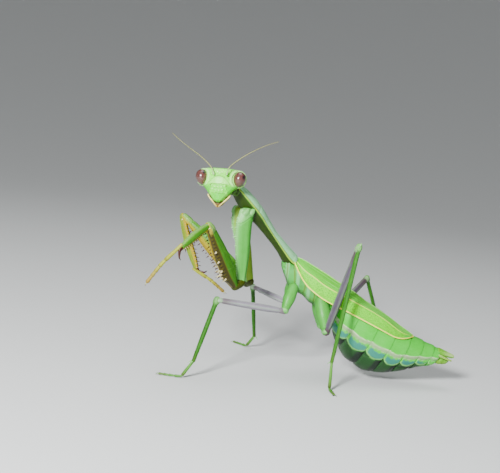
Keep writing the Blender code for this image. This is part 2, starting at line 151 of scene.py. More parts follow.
def curve(xs, ys, at):
    """A cubic through the points (xs, ys) that never overshoots them.

    Its slope at an inner point is the harmonic mean of the slopes on both sides, or 0 where they disagree.
    """
    xs, ys = np.asarray(xs, float), np.asarray(ys, float)
    step = np.diff(xs)
    slope = np.diff(ys) / step
    both = slope[:-1] + slope[1:]
    inner = slope[:-1] * slope[1:]
    mid = np.where(inner > 0.0, 2.0 * inner / np.where(both == 0.0, 1.0, both), 0.0)
    lean = np.concatenate((slope[:1], mid, slope[-1:]))
    at = np.clip(at, xs[0], xs[-1])
    k = np.clip(np.searchsorted(xs, at, side="right") - 1, 0, len(step) - 1)
    h = step[k]
    t = (at - xs[k]) / h
    near = (1.0 + 2.0 * t) * (1.0 - t) ** 2 * ys[k] + t * (1.0 - t) ** 2 * h * lean[k]
    far = t * t * (3.0 - 2.0 * t) * ys[k + 1] + t * t * (t - 1.0) * h * lean[k + 1]
    return near + far


def through(points, count, crowd=0.0):
    """A smooth path of count places through the points, each coordinate a curve of the length run.

    The places stand even at crowd 0, and at crowd 1 close up towards both ends as a cosine does.
    """
    points = np.asarray(points, float)
    run = np.concatenate(([0.0], np.cumsum(np.linalg.norm(np.diff(points, axis=0), axis=1))))
    u = np.linspace(0.0, 1.0, count)
    u = (1.0 - crowd) * u + crowd * 0.5 * (1.0 - np.cos(math.pi * u))
    return np.stack([curve(run, points[:, k], u * run[-1]) for k in range(3)], axis=1)


# ---------------------------------------------------------------------------------------------------------
# Surfaces as arrays. A shell is (places, quads, triangles, marks): marks are three masks at every place,
# which the finishes turn into colours.
# ---------------------------------------------------------------------------------------------------------


def lattice(points, marks=None, ring=True, closed=True):
    """Rows of points joined by quads, round each row if ring, with a fan over both end rows if closed."""
    rows, columns = points.shape[:2]
    marks = np.zeros((rows, columns, 3)) if marks is None else np.broadcast_to(marks, (rows, columns, 3))
    at = np.arange(rows * columns).reshape(rows, columns)
    here = at if ring else at[:, :-1]
    after = np.roll(at, -1, axis=1) if ring else at[:, 1:]
    quads = np.stack((here[:-1], after[:-1], after[1:], here[1:]), axis=-1).reshape(-1, 4)
    places, masks = points.reshape(-1, 3), marks.reshape(-1, 3)
    fans = np.zeros((0, 3), int)
    if closed:
        count = rows * columns
        places = np.concatenate((places, points[:1].mean(axis=1), points[-1:].mean(axis=1)))
        masks = np.concatenate((masks, marks[:1].mean(axis=1), marks[-1:].mean(axis=1)))
        first = np.stack((np.full(columns, count), np.roll(at[0], -1), at[0]), axis=-1)
        last = np.stack((np.full(columns, count + 1), at[-1], np.roll(at[-1], -1)), axis=-1)
        fans = np.concatenate((first, last))
        a, b, c, d = (places[quads[:, k]] for k in range(4))
        volume = np.einsum("ij,ij->", a, np.cross(b, c)) + np.einsum("ij,ij->", a, np.cross(c, d))
        if volume < 0.0:
            quads, fans = quads[:, ::-1], fans[:, ::-1]
    return places, quads, fans, masks


def together(*shells):
    """Several shells as one."""
    starts = np.cumsum([0] + [len(s[0]) for s in shells[:-1]])
    return (
        np.concatenate([s[0] for s in shells]),
        np.concatenate([s[1] + n for s, n in zip(shells, starts)]),
        np.concatenate([s[2] + n for s, n in zip(shells, starts)]),
        np.concatenate([s[3] for s in shells]),
    )


def loft(place, stations, rings, sides, relief=None, marks=None, blunt=(0.4, 0.4), crowd=0.5):
    """A closed body along Y.

    Each station is (y, half width, lowest, highest, height of the widest), the last one halfway up if left
    out. Round a ring, the point at angle a stands at x = half·cos a, z = widest + reach·sin a, moved
    outwards by relief(y, a, x, z). The last stretch at both ends, blunt long, closes as a quarter of an
    ellipse.
    """
    table = np.array([row if len(row) == 5 else (*row, (row[2] + row[3]) / 2.0) for row in stations], float)
    u = np.linspace(0.0, 1.0, rings)
    u = (1.0 - crowd) * u + crowd * 0.5 * (1.0 - np.cos(math.pi * u))
    start, end = table[0, 0], table[-1, 0]
    y = (start + (end - start) * u)[:, None]
    half, low, high, middle = (curve(table[:, 0], table[:, k], y) for k in range(1, 5))
    opening = np.sqrt(1.0 - (1.0 - np.clip((y - start) / blunt[0], 0.0, 1.0)) ** 2)
    closing = np.sqrt(1.0 - (1.0 - np.clip((end - y) / blunt[1], 0.0, 1.0)) ** 2)
    pinch = np.maximum(opening * closing, 1e-3)
    a = (TAU * np.arange(sides) / sides)[None, :]
    reach = np.where(np.sin(a) > 0.0, high - middle, middle - low)
    x = half * pinch * np.cos(a)
    z = middle + reach * pinch * np.sin(a)
    if relief is not None:
        rise = relief(y, a, x, z) * pinch
        x = x + rise * np.cos(a)
        z = z + rise * np.sin(a)
    masks = None
    if marks is not None:
        masks = np.stack([np.broadcast_to(m, x.shape) for m in marks(y, a, x, z)], axis=-1)
    return lattice(world(place, x, y, z), masks)


def tube(path, radius, sides=16, up=(0.0, 0.0, 1.0), marks=None, flat=1.0):
    """A round body carried along a path, its section radius wide and radius·flat deep towards up."""
    path = np.asarray(path, float)
    along = unit(np.gradient(path, axis=0))
    side = unit(np.cross(along, up))
    over = np.cross(side, along)
    a = TAU * np.arange(sides) / sides
    radius = np.broadcast_to(radius, len(path))[:, None, None]
    points = path[:, None] + radius * (
        np.cos(a)[None, :, None] * side[:, None] + flat * np.sin(a)[None, :, None] * over[:, None]
    )
    masks = None if marks is None else np.broadcast_to(np.asarray(marks)[:, None, :], (len(path), sides, 3))
    return lattice(points, masks)


def spines(bases, directions, lengths, widths, bend=0.0, sag=(0.0, 0.0, -1.0), rings=7, sides=8,
           domed=False, dark=0.6):
    """Many cones in one shell.

    Ring t of a cone stands at base + direction·length·t + sag·bend·length·t squared. Its width is
    width·(1 - t) to the power 0.8, or width·sqrt(1 - t squared) where it is domed. The first mark turns to
    the third from dark to dark + 0.25 of the way up.
    """
    bases = np.atleast_2d(np.asarray(bases, float))
    count = len(bases)
    directions = unit(np.broadcast_to(np.asarray(directions, float), (count, 3)))
    lengths = np.broadcast_to(lengths, count)[:, None, None, None]
    widths = np.broadcast_to(widths, count)[:, None, None, None]
    helper = unit(np.array((0.31, 0.22, 0.93)) + 0.0 * directions)
    side = unit(np.cross(directions, helper))
    over = np.cross(directions, side)
    t = np.linspace(0.0, 0.985, rings)[None, :, None, None]
    t = np.sin(t * math.pi / 2.0) if domed else t
    a = (TAU * np.arange(sides) / sides)[None, None, :, None]
    shape = np.sqrt(1.0 - t * t) if domed else (1.0 - t) ** 0.8
    centre = bases[:, None, None] + directions[:, None, None] * lengths * t
    centre = centre + np.asarray(sag, float) * bend * lengths * t * t
    points = centre + widths * shape * (np.cos(a) * side[:, None, None] + np.sin(a) * over[:, None, None])
    tip = np.broadcast_to(ramp(t, dark, dark + 0.25), points.shape)
    root_mark, tip_mark = np.array((1.0, 0.0, 0.0)), np.array((0.0, 0.0, 1.0))
    masks = tip * tip_mark + (1.0 - tip) * root_mark
    places = points.reshape(-1, 3)
    at = np.arange(count * rings * sides).reshape(count, rings, sides)
    after = np.roll(at, -1, axis=2)
    quads = np.stack((at[:, :-1], after[:, :-1], after[:, 1:], at[:, 1:]), axis=-1).reshape(-1, 4)
    foot = np.arange(count) + len(places)
    top = foot + count
    fan_low = np.stack((np.broadcast_to(foot[:, None], after[:, 0].shape), after[:, 0], at[:, 0]), axis=-1)
    fan_high = np.stack((np.broadcast_to(top[:, None], at[:, -1].shape), at[:, -1], after[:, -1]), axis=-1)
    fans = np.concatenate((fan_low.reshape(-1, 3), fan_high.reshape(-1, 3)))
    places = np.concatenate((places, centre[:, 0, 0], centre[:, -1, 0]))
    masks = np.concatenate((
        masks.reshape(-1, 3), np.tile(root_mark, (count, 1)), np.tile(tip_mark, (count, 1)),
    ))
    first, second, third = (places[quads[:, k]] - bases[0] for k in range(3))
    if np.einsum("ij,ij->", first, np.cross(second, third)) < 0.0:
        quads, fans = quads[:, ::-1], fans[:, ::-1]
    return places, quads, fans, masks


def make(name, shell, finish, slot, *nodes, thickness=0.0):
    """One object from a shell, smooth shaded, riding on the insect and standing for its nodes."""
    places, quads, fans, masks = shell
    mesh = bpy.data.meshes.new(name)
    mesh.from_pydata(places.tolist(), [], quads.tolist() + fans.tolist())
    layer = mesh.attributes.new("marks", "FLOAT_COLOR", "POINT")
    colours = np.concatenate((np.clip(masks, 0.0, 1.0), np.ones((len(masks), 1))), axis=1)
    layer.data.foreach_set("color", colours.ravel())
    mesh.shade_smooth()
    mesh.materials.append(finish)
    mesh.validate()
    piece = bpy.data.objects.new(name, mesh)
    bpy.context.scene.collection.objects.link(piece)
    if thickness:
        wall = piece.modifiers.new("wall", "SOLIDIFY")
        wall.thickness = thickness * MM
        wall.offset = -1.0
    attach(piece, "root")
    if nodes:
        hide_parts(*nodes)
    return piece


# ---------------------------------------------------------------------------------------------------------
# Finishes
# ---------------------------------------------------------------------------------------------------------


def group(name, inputs, outputs):
    """An empty node group with these sockets, and its input and output nodes."""
    tree = bpy.data.node_groups.new(name, "ShaderNodeTree")
    for label, kind, value in inputs:
        socket = tree.interface.new_socket(label, in_out="INPUT", socket_type=kind)
        socket.default_value = value
    for label, kind in outputs:
        tree.interface.new_socket(label, in_out="OUTPUT", socket_type=kind)
    return tree, tree.nodes.new("NodeGroupInput"), tree.nodes.new("NodeGroupOutput")


def feed(tree, socket, value):
    """Links value to socket where it is itself a socket, and sets it there where it is not."""
    if isinstance(value, bpy.types.NodeSocket):
        tree.links.new(value, socket)
    else:
        socket.default_value = value


def node(tree, kind, links=None, **settings):
    """A node with its settings, and its inputs set or linked by name or number."""
    made = tree.nodes.new(kind)
    for key, value in settings.items():
        setattr(made, key, value)
    for key, value in (links or {}).items():
        feed(tree, made.inputs[key], value)
    return made


def blend(tree, factor, first, second):
    """A colour mix: first where factor is 0, second where it is 1."""
    mix = node(tree, "ShaderNodeMix", data_type="RGBA")
    for socket, value in ((mix.inputs[0], factor), (mix.inputs[6], first), (mix.inputs[7], second)):
        feed(tree, socket, value)
    return mix.outputs[2]


def sums(tree, operation, *values):
    """One step of arithmetic on numbers or sockets."""
    return node(tree, "ShaderNodeMath", dict(enumerate(values)), operation=operation).outputs[0]


def spread(tree, value, low, high, first, last):
    """First where value is at low or under it, last where it is at high or over it, and even between."""
    return node(tree, "ShaderNodeMapRange", {"Value": value, "From Min": low, "From Max": high,
                                             "To Min": first, "To Max": last}).outputs[0]


def painted(tree):
    """The coordinates of the piece, and its three marks."""
    place = node(tree, "ShaderNodeTexCoord").outputs["Object"]
    colour = node(tree, "ShaderNodeAttribute", attribute_name="marks").outputs["Color"]
    return place, node(tree, "ShaderNodeSeparateColor", {0: colour}).outputs


def cuticle_group():
    """Insect skin: a base colour, cloudy mottling, three painted marks, speckle and a grain in relief."""
    tree, given, out = group("cuticle", (
        ("Base", "NodeSocketColor", (0.3, 0.6, 0.2, 1.0)),
        ("First", "NodeSocketColor", (1.0, 1.0, 1.0, 1.0)),
        ("Second", "NodeSocketColor", (1.0, 1.0, 1.0, 1.0)),
        ("Third", "NodeSocketColor", (0.0, 0.0, 0.0, 1.0)),
        ("Cloud", "NodeSocketColor", (0.3, 0.6, 0.2, 1.0)),
        ("Cloud Amount", "NodeSocketFloat", 0.5),
        ("Cloud Scale", "NodeSocketFloat", 400.0),
        ("Grain Scale", "NodeSocketFloat", 6000.0),
        ("Speckle", "NodeSocketFloat", 0.15),
        ("Depth", "NodeSocketFloat", 0.3),
    ), (("Color", "NodeSocketColor"), ("Roughness", "NodeSocketFloat"), ("Normal", "NodeSocketVector")))
    wanted = given.outputs
    place, masks = painted(tree)
    cloud = node(tree, "ShaderNodeTexNoise", {
        "Vector": place, "Scale": wanted["Cloud Scale"], "Detail": 3.0, "Roughness": 0.6,
    }).outputs["Fac"]
    mottling = spread(tree, cloud, 0.38, 0.66, 0.0, wanted["Cloud Amount"])
    colour = blend(tree, mottling, wanted["Base"], wanted["Cloud"])
    for mask, label in zip(masks, ("First", "Second", "Third")):
        colour = blend(tree, mask, colour, wanted[label])
    grain = node(tree, "ShaderNodeTexNoise", {
        "Vector": place, "Scale": wanted["Grain Scale"], "Detail": 4.0, "Roughness": 0.65,
    }).outputs["Fac"]
    speckle = sums(tree, "MULTIPLY_ADD", sums(tree, "ADD", grain, -0.5), wanted["Speckle"], 1.0)
    speckled = node(tree, "ShaderNodeVectorMath", {0: colour, 3: speckle}, operation="SCALE").outputs[0]
    pores = node(tree, "ShaderNodeTexVoronoi", {"Vector": place, "Scale": wanted["Grain Scale"]})
    height = sums(tree, "ADD", grain, pores.outputs["Distance"])
    bump = node(tree, "ShaderNodeBump", {"Strength": wanted["Depth"], "Distance": 0.00006,
                                         "Height": height})
    roughness = spread(tree, grain, 0.3, 0.7, 0.36, 0.56)
    for label, socket in (("Color", speckled), ("Roughness", roughness), ("Normal", bump.outputs[0])):
        tree.links.new(socket, out.inputs[label])
    return tree


def netting_group():
    """A wing's fine net: cells between raised cross veins, drawn where the second mark is."""
    tree, given, out = group("netting", (
        ("Color", "NodeSocketColor", (0.3, 0.6, 0.2, 1.0)),
        ("Vein", "NodeSocketColor", (0.5, 0.8, 0.3, 1.0)),
        ("Cell", "NodeSocketColor", (0.2, 0.5, 0.1, 1.0)),
        ("Scale", "NodeSocketFloat", 2600.0),
        ("Amount", "NodeSocketFloat", 0.6),
    ), (("Color", "NodeSocketColor"), ("Height", "NodeSocketFloat")))
    wanted = given.outputs
    place, masks = painted(tree)
    wobble = node(tree, "ShaderNodeTexNoise", {"Vector": place, "Scale": 900.0, "Detail": 1.0})
    shift = node(tree, "ShaderNodeVectorMath", {0: wobble.outputs["Color"], 3: 0.0003}, operation="SCALE")
    where = node(tree, "ShaderNodeVectorMath", {0: place, 1: shift.outputs[0]}, operation="ADD")
    cells = node(tree, "ShaderNodeTexVoronoi", {"Vector": where.outputs[0], "Scale": wanted["Scale"]},
                 feature="DISTANCE_TO_EDGE").outputs["Distance"]
    plain = sums(tree, "SUBTRACT", 1.0, masks[0])
    amount = sums(tree, "MULTIPLY", sums(tree, "MULTIPLY_ADD", masks[1], 0.75, 0.25), wanted["Amount"])
    shown = sums(tree, "MULTIPLY", plain, amount)
    veins = sums(tree, "MULTIPLY", spread(tree, cells, 0.03, 0.16, 1.0, 0.0), shown)
    hollows = sums(tree, "MULTIPLY", spread(tree, cells, 0.1, 0.4, 0.0, 0.5), shown)
    colour = blend(tree, hollows, wanted["Color"], wanted["Cell"])
    colour = blend(tree, veins, colour, wanted["Vein"])
    tree.links.new(colour, out.inputs["Color"])
    tree.links.new(veins, out.inputs["Height"])
    return tree


CUTICLE = cuticle_group()
NETTING = netting_group()


def deep(colour):
    """A colour with full cover, each channel to the power 1.45, so that it stays strong in soft light."""
    return (*(channel ** 1.45 for channel in colour), 1.0)


def cuticle(name, base, cloud, first, second, third, amount=0.5, scale=400.0, grain=6000.0, depth=0.3,
            coat=0.08, net=None):
    """A finish of insect skin with its own colours: base and cloud, and one for each mark."""
    material = bpy.data.materials.new(name)
    material.use_nodes = True
    tree = material.node_tree
    shader = tree.nodes["Principled BSDF"]
    skin = node(tree, "ShaderNodeGroup", {
        "Base": deep(base), "Cloud": deep(cloud), "First": deep(first), "Second": deep(second),
        "Third": deep(third), "Cloud Amount": amount, "Cloud Scale": scale, "Grain Scale": grain,
        "Speckle": 0.15, "Depth": depth,
    }, node_tree=CUTICLE)
    colour, normal = skin.outputs["Color"], skin.outputs["Normal"]
    if net:
        vein, cell, net_scale, net_amount = net
        web = node(tree, "ShaderNodeGroup", {
            "Color": colour, "Vein": deep(vein), "Cell": deep(cell), "Scale": net_scale,
            "Amount": net_amount,
        }, node_tree=NETTING)
        colour = web.outputs["Color"]
        normal = node(tree, "ShaderNodeBump", {
            "Strength": 0.5, "Distance": 0.00005, "Height": web.outputs["Height"], "Normal": normal,
        }).outputs[0]
    for label, value in (
        ("Base Color", colour), ("Roughness", skin.outputs["Roughness"]), ("Normal", normal),
        ("Coat Weight", coat), ("Coat Roughness", 0.25), ("Specular IOR Level", 0.20),
        ("Subsurface Weight", 0.06), ("Subsurface Radius", (0.4, 0.8, 0.25)), ("Subsurface Scale", 0.0005),
    ):
        feed(tree, shader.inputs[label], value)
    return material


# Face: the third colour serves the dark seams, pits and brow, and painted shade at the lower back of the
# head; the first also paints a highlight on the clypeus knobs.
FACE = cuticle("face", (0.24, 0.76, 0.07), (0.36, 0.84, 0.18),
               (0.55, 0.88, 0.38), (0.10, 0.60, 0.02), (0.12, 0.22, 0.02), scale=700.0, grain=9000.0)
# Body: the near black third colour is painted shade under the neck, pronotum and hind thorax, and the dark
# of the thorax seams; the pale first is partly a painted highlight on the pronotum top and thorax plates.
BODY = cuticle("body", (0.11, 0.44, 0.10), (0.16, 0.50, 0.17),
               (0.42, 0.66, 0.48), (0.66, 0.66, 0.08), (0.052, 0.098, 0.001), scale=350.0)
# Abdomen: the third colour deepens the belly's own grey-green with painted shade, paints the shadow at each
# segment's end, and darkens the seams.
ABDOMEN = cuticle("abdomen", (0.10, 0.56, 0.06), (0.16, 0.60, 0.12),
                  (0.76, 0.76, 0.60), (0.075, 0.30, 0.27), (0.040, 0.065, 0.045), scale=300.0, grain=4500.0)
TAIL = cuticle("tail", (0.20, 0.48, 0.04), (0.28, 0.56, 0.08),
               (0.52, 0.64, 0.32), (0.42, 0.40, 0.05), (0.05, 0.09, 0.01), scale=900.0)
WING = cuticle("wing", (0.15, 0.58, 0.05), (0.22, 0.62, 0.10),
               (0.84, 0.84, 0.22), (0.21, 0.66, 0.003), (0.52, 0.78, 0.38), amount=0.35, scale=500.0,
               net=((0.28, 0.74, 0.010), (0.07, 0.36, 0.002), 3000.0, 0.85))
HIP = cuticle("hip", (0.12, 0.44, 0.08), (0.17, 0.50, 0.14),
              (0.44, 0.72, 0.38), (0.36, 0.48, 0.03), (0.03, 0.07, 0.012), scale=500.0)
# Raptor: the near black third colour is painted shade over each trochanter and, with the femur's own brown,
# under each femur; it also marks the tibia teeth.
RAPTOR = cuticle("raptor", (0.095, 0.29, 0.014), (0.13, 0.36, 0.030),
                 (0.45, 0.60, 0.28), (0.46, 0.36, 0.012), (0.040, 0.028, 0.004), scale=450.0)
SPINE = cuticle("spine", (0.70, 0.66, 0.45), (0.75, 0.70, 0.50),
                (0.72, 0.66, 0.42), (0.60, 0.42, 0.06), (0.09, 0.022, 0.010), coat=0.3)
SHANK = cuticle("shank", (0.06, 0.23, 0.015), (0.09, 0.30, 0.03),
                (0.34, 0.62, 0.26), (0.20, 0.20, 0.02), (0.03, 0.05, 0.008), scale=600.0)
THIGH = cuticle("thigh", (0.155, 0.135, 0.17), (0.20, 0.18, 0.22),
                (0.36, 0.60, 0.28), (0.13, 0.075, 0.07), (0.06, 0.045, 0.065), scale=900.0)
PALE_THIGH = cuticle("pale_thigh", (0.355, 0.335, 0.375), (0.42, 0.41, 0.45),
                     (0.44, 0.66, 0.40), (0.19, 0.13, 0.13), (0.14, 0.12, 0.15), scale=900.0)
FOOT = cuticle("foot", (0.34, 0.36, 0.02), (0.40, 0.42, 0.05),
               (0.48, 0.50, 0.12), (0.36, 0.16, 0.09), (0.12, 0.06, 0.03), scale=900.0)
WALKING_FOOT = cuticle("walking_foot", (0.12, 0.34, 0.05), (0.18, 0.40, 0.09),
                       (0.26, 0.46, 0.14), (0.16, 0.12, 0.04), (0.05, 0.04, 0.015), scale=900.0)
CLAW = cuticle("claw", (0.070, 0.012, 0.008), (0.10, 0.016, 0.010),
               (0.40, 0.22, 0.12), (0.13, 0.030, 0.015), (0.012, 0.010, 0.008), depth=0.1, coat=0.3)
JAW = cuticle("jaw", (0.14, 0.13, 0.02), (0.20, 0.16, 0.03),
              (0.88, 0.80, 0.36), (0.46, 0.28, 0.03), (0.03, 0.022, 0.006), scale=1200.0)
FEELER = cuticle("feeler", (0.32, 0.33, 0.17), (0.38, 0.38, 0.21),
                 (0.40, 0.62, 0.28), (0.25, 0.24, 0.13), (0.12, 0.10, 0.06), scale=1200.0)


def eye_finish():
    """A compound eye: mauve brown, clouded towards its rim, a dark false pupil, and thousands of facets."""
    material = bpy.data.materials.new("eye")
    material.use_nodes = True
    tree = material.node_tree
    shader = tree.nodes["Principled BSDF"]
    place, masks = painted(tree)
    cloud = node(tree, "ShaderNodeTexNoise", {"Vector": place, "Scale": 900.0, "Detail": 3.0})
    colour = blend(tree, cloud.outputs["Fac"], (0.060, 0.018, 0.016, 1.0), (0.100, 0.036, 0.028, 1.0))
    for mask, mark in zip(masks, ((0.11, 0.065, 0.018), (0.13, 0.030, 0.032), (0.012, 0.004, 0.006))):
        colour = blend(tree, mask, colour, (*mark, 1.0))
    facets = node(tree, "ShaderNodeTexVoronoi", {"Vector": place, "Scale": 19000.0})
    bump = node(tree, "ShaderNodeBump", {"Strength": 0.10, "Distance": 0.00002,
                                         "Height": facets.outputs["Distance"]})
    for label, value in (
        ("Base Color", colour), ("Normal", bump.outputs[0]), ("Roughness", 0.28), ("Coat Weight", 0.65),
        ("Coat Roughness", 0.16),
    ):
        feed(tree, shader.inputs[label], value)
    return material


EYE = eye_finish()

# ---------------------------------------------------------------------------------------------------------
# The head
# ---------------------------------------------------------------------------------------------------------

HEAD_STATIONS = (
    (-2.62, 0.45, 0.95, 1.75, 1.35), (-2.30, 0.78, 0.60, 1.95, 1.20), (-1.60, 1.36, 0.10, 1.98, 0.90),
    (-0.70, 2.18, -0.80, 2.00, 0.30), (0.20, 2.98, -1.40, 2.00, -0.30), (1.20, 3.42, -1.75, 1.88, -0.75),
    (2.20, 3.22, -1.70, 1.62, -0.75), (2.80, 2.85, -1.50, 1.30, -0.55), (3.10, 2.60, -1.20, 1.00, -0.30),
)


def face_parts(y, a, x):
    """How far a point is on the front of the skull, on its shield, the arch over it, clypeus, lip and seams.

    Frontness is sin a to the power 1.5 above the widest line. The shield between the feelers is the plate
    y < 1.75 - 0.40·x², the clypeus lies under it, and the lip under that.
    """
    front = np.clip(np.sin(a), 0.0, 1.0) ** 1.5
    bow = 1.75 - 0.40 * x ** 2 - y
    shield = ramp(bow, -0.05, 0.12) * ramp(y, 0.32, 0.46) * front
    arch = ridge(2.05 - 0.34 * x ** 2 - y, 0.0, 0.10) * front * ramp(y, 0.0, 0.5)
    clypeus = ramp(1.42 - np.abs(x) + 0.28 * y, -0.1, 0.35) * ramp(y, -1.20, -0.9) * ramp(-y, -0.46, -0.20)
    lip = ramp(1.22 - np.abs(x) * (1.0 + 0.10 * y), 0.0, 0.35) * ramp(-y, 1.02, 1.16) * front
    upper = ridge(y, 0.40, 0.06) * ramp(1.5 - np.abs(x), 0.0, 0.2)
    lower = ridge(y, -1.08, 0.07) * ramp(1.3 - np.abs(x), 0.0, 0.2)
    seams = (upper + lower + ridge(bow, 0.0, 0.07) * ramp(y, 0.3, 0.5)) * front
    return front, shield, arch, clypeus * front, lip, seams


def knobs(x, y):
    """Low knobs between 0 and 1: a raised cosine across times one down, both a little wavy."""
    across = 0.5 + 0.5 * np.cos(TAU * (x * 1.75 + 0.20 * np.sin(4.3 * y + 1.0)))
    return across * (0.5 + 0.5 * np.cos(TAU * (y * 1.9 + 0.24 * np.sin(3.7 * np.abs(x) + 0.6))))


def from_eye(x, y):
    """The distance from the middle of the nearer eye, in the eye's own half widths."""
    return np.hypot((np.abs(x) - EYE_OFFSET[0]) / EYE_SIZE[0], (y - EYE_OFFSET[1]) / EYE_SIZE[1])


def skull_relief(y, a, x, z):
    """Raised shield, arch, knobbed clypeus, lip, cheeks and crown; sunk seams, feeler pits and eye beds."""
    front, shield, arch, clypeus, lip, seams = face_parts(y, a, x)
    rise = 0.11 * shield + 0.09 * arch + 0.04 * clypeus + 0.13 * knobs(x, y) * clypeus + 0.18 * lip
    rise = rise - 0.10 * seams + 0.05 * shield * ridge(np.abs(x), 0.55, 0.16) * ramp(y, 0.4, 0.9)
    cheek = ridge(np.abs(x) - (2.15 + 0.78 * y), 0.0, 0.16) * front * ramp(-y, -0.5, 0.2)
    from_feeler = np.hypot(np.abs(x) - 1.15, y - 2.02)
    socket = ridge(from_feeler, 0.28, 0.09) * front
    pit = ridge(from_feeler, 0.0, 0.17) * front
    crown = ridge(y, 2.86, 0.12) * ramp(np.sin(a), -0.3, 0.3)
    lobes = 0.10 * ridge(np.abs(x), 0.95, 0.30) * ramp(y, 2.3, 2.8) * ramp(np.sin(a), -0.5, 0.2)
    around = from_eye(x, y)
    bed = -0.42 * (1.0 - ramp(around, 0.85, 1.12)) + 0.07 * ridge(around, 1.20, 0.10)
    return rise + 0.06 * cheek + 0.10 * socket - 0.14 * pit + 0.05 * crown + lobes + bed * front


def skull_marks(y, a, x, z):
    """First pale on shield, orbits and knobs, on the knobs a painted highlight; second green on lip and
    cheeks; third dark in seams, and painted shade below.
    """
    front, shield, arch, clypeus, lip, seams = face_parts(y, a, x)
    raised = knobs(x, y)
    orbit = ridge(from_eye(x, y), 1.16, 0.26) * ramp(z, -0.9, 0.2)
    cheeks = ramp(-y, -0.55, 0.2) * ramp(np.abs(x) + 0.30 * y, 0.9, 1.4)
    # The pale on the clypeus knobs is a painted highlight on each knob.
    pale = np.maximum(0.40 * shield, 0.75 * orbit) + 0.75 * clypeus * raised
    pale = pale + 0.20 * ramp(y, 1.9, 2.6) * front
    green = np.maximum(0.85 * lip, 0.8 * cheeks * (1.0 - lip))
    green = np.maximum(green, 0.5 * clypeus * (1.0 - raised))
    yellow_edge = ramp(-np.sin(a), -0.42, -0.15) * ramp(-y, -1.0, -0.6)
    pits = ridge(np.hypot(np.abs(x) - 1.32, y - 0.22), 0.0, 0.13) * front
    brow = ridge(np.abs(x) - 2.80 - 0.975 * y, 0.0, 0.09) * ramp(-y, -0.4, 0.0)
    # Painted shade: the back of the head below its middle is painted dark.
    below = ramp(-np.sin(a), -0.1, 0.45) * ramp(-y, -1.2, 0.0)
    dark = 0.45 * seams + 0.9 * pits + 0.6 * brow + 0.8 * below
    return pale * (1.0 - cheeks), green * (1.0 - 0.6 * yellow_edge), dark


def eye_rim(place, hand):
    """The pale rim of an eye: a section 0.13 wide carried round an ellipse of 1.28 by 1.34."""
    out = unit(np.array((hand * 0.45, 0.0, 0.89)))
    across = unit(np.cross((hand * 0.15, 1.0, 0.0), out))
    upward = np.cross(out, across)
    centre = EYE_OFFSET * (hand, 1.0, 1.0) - 0.45 * out
    a = np.linspace(0.0, TAU, 97)[:-1, None]
    path = centre + 1.28 * np.cos(a) * across + 1.34 * np.sin(a) * upward
    k = (TAU * np.arange(24) / 24)[None, :, None]
    ring = path[:, None] + 0.13 * (np.cos(k) * unit(path - centre)[:, None] + 0.8 * np.sin(k) * out)
    ring = np.concatenate((ring, ring[:1]))
    points = world(place, ring[..., 0], ring[..., 1], ring[..., 2])
    places, quads, fans, masks = lattice(points, np.zeros(ring.shape) + (0.85, 0.0, 0.12), closed=False)
    face = np.cross(places[quads[:, 1]] - places[quads[:, 0]], places[quads[:, 2]] - places[quads[:, 0]])
    away = places[quads].mean(axis=1) - world(place, *centre)
    if np.einsum("ij,ij->", face, away) < 0.0:
        quads = quads[:, ::-1]
    return places, quads, fans, masks


def head():
    """The triangular capsule, its sections stacked from the lip to the crown, with eye rims and eyelets."""
    place = head_place()
    skull = loft(place, HEAD_STATIONS, 230, 220, skull_relief, skull_marks, blunt=(0.55, 0.22), crowd=0.35)
    rims = [eye_rim(place, hand) for hand in (1.0, -1.0)]
    eyelets = np.array(((0.0, 2.16, 1.62), (0.36, 2.42, 1.48), (-0.36, 2.42, 1.48)))
    dots = spines(world(place, *eyelets.T), place[1][:, 2], 0.17 * MM, 0.15 * MM, domed=True, dark=2.0,
                  sides=14, rings=8)
    make("head_capsule", together(skull, *rims, dots), FACE, "face_green", "head")


def mouthparts():
    """The jaws as a dark wedge under the lip, edged by the two pale jointed palps that meet in a V."""
    place = head_place()

    def relief(y, a, x, z):
        return 0.05 * np.sin(6.0 * y) * np.cos(a) ** 2

    def marks(y, a, x, z):
        edge = ramp(np.abs(np.cos(a)), 0.8, 1.0)
        return 0.25 * edge, 0.8 * ramp(-y, 2.5, 3.1), 0.55 * ramp(np.sin(a), 0.0, 0.6)

    wedge = loft(place, (
        (-3.42, 0.20, 0.70, 1.20), (-2.70, 0.92, 0.10, 1.25), (-1.70, 1.72, -0.50, 1.00),
        (-0.80, 1.90, -1.10, 0.60),
    ), 60, 64, relief, marks, blunt=(0.2, 0.5))
    palps = []
    for hand in (1.0, -1.0):
        way = through((
            (hand * 1.92, -1.25, 0.35), (hand * 1.66, -1.66, 0.80), (hand * 0.86, -2.52, 1.15),
            (hand * 0.05, -3.40, 1.24),
        ), 60)
        t = np.linspace(0.0, 1.0, 60)
        joints = 0.030 * np.abs(np.sin(TAU * 1.5 * t)) + 0.080 + 0.02 * ridge(t, 0.5, 0.2)
        width = joints * np.sqrt(np.clip(1.0 - (2.0 * t - 1.0) ** 10, 0.0, 1.0)) + 0.01
        paint = np.stack((0.9 - 0.5 * t ** 3, 0.55 * t ** 2, 0.0 * t), axis=1)
        palps.append(tube(world(place, *way.T), width * MM, 18, up=place[1][:, 2], marks=paint))
    make("jaws", together(wedge, *palps), JAW, "mouth_cream", "mouthparts")


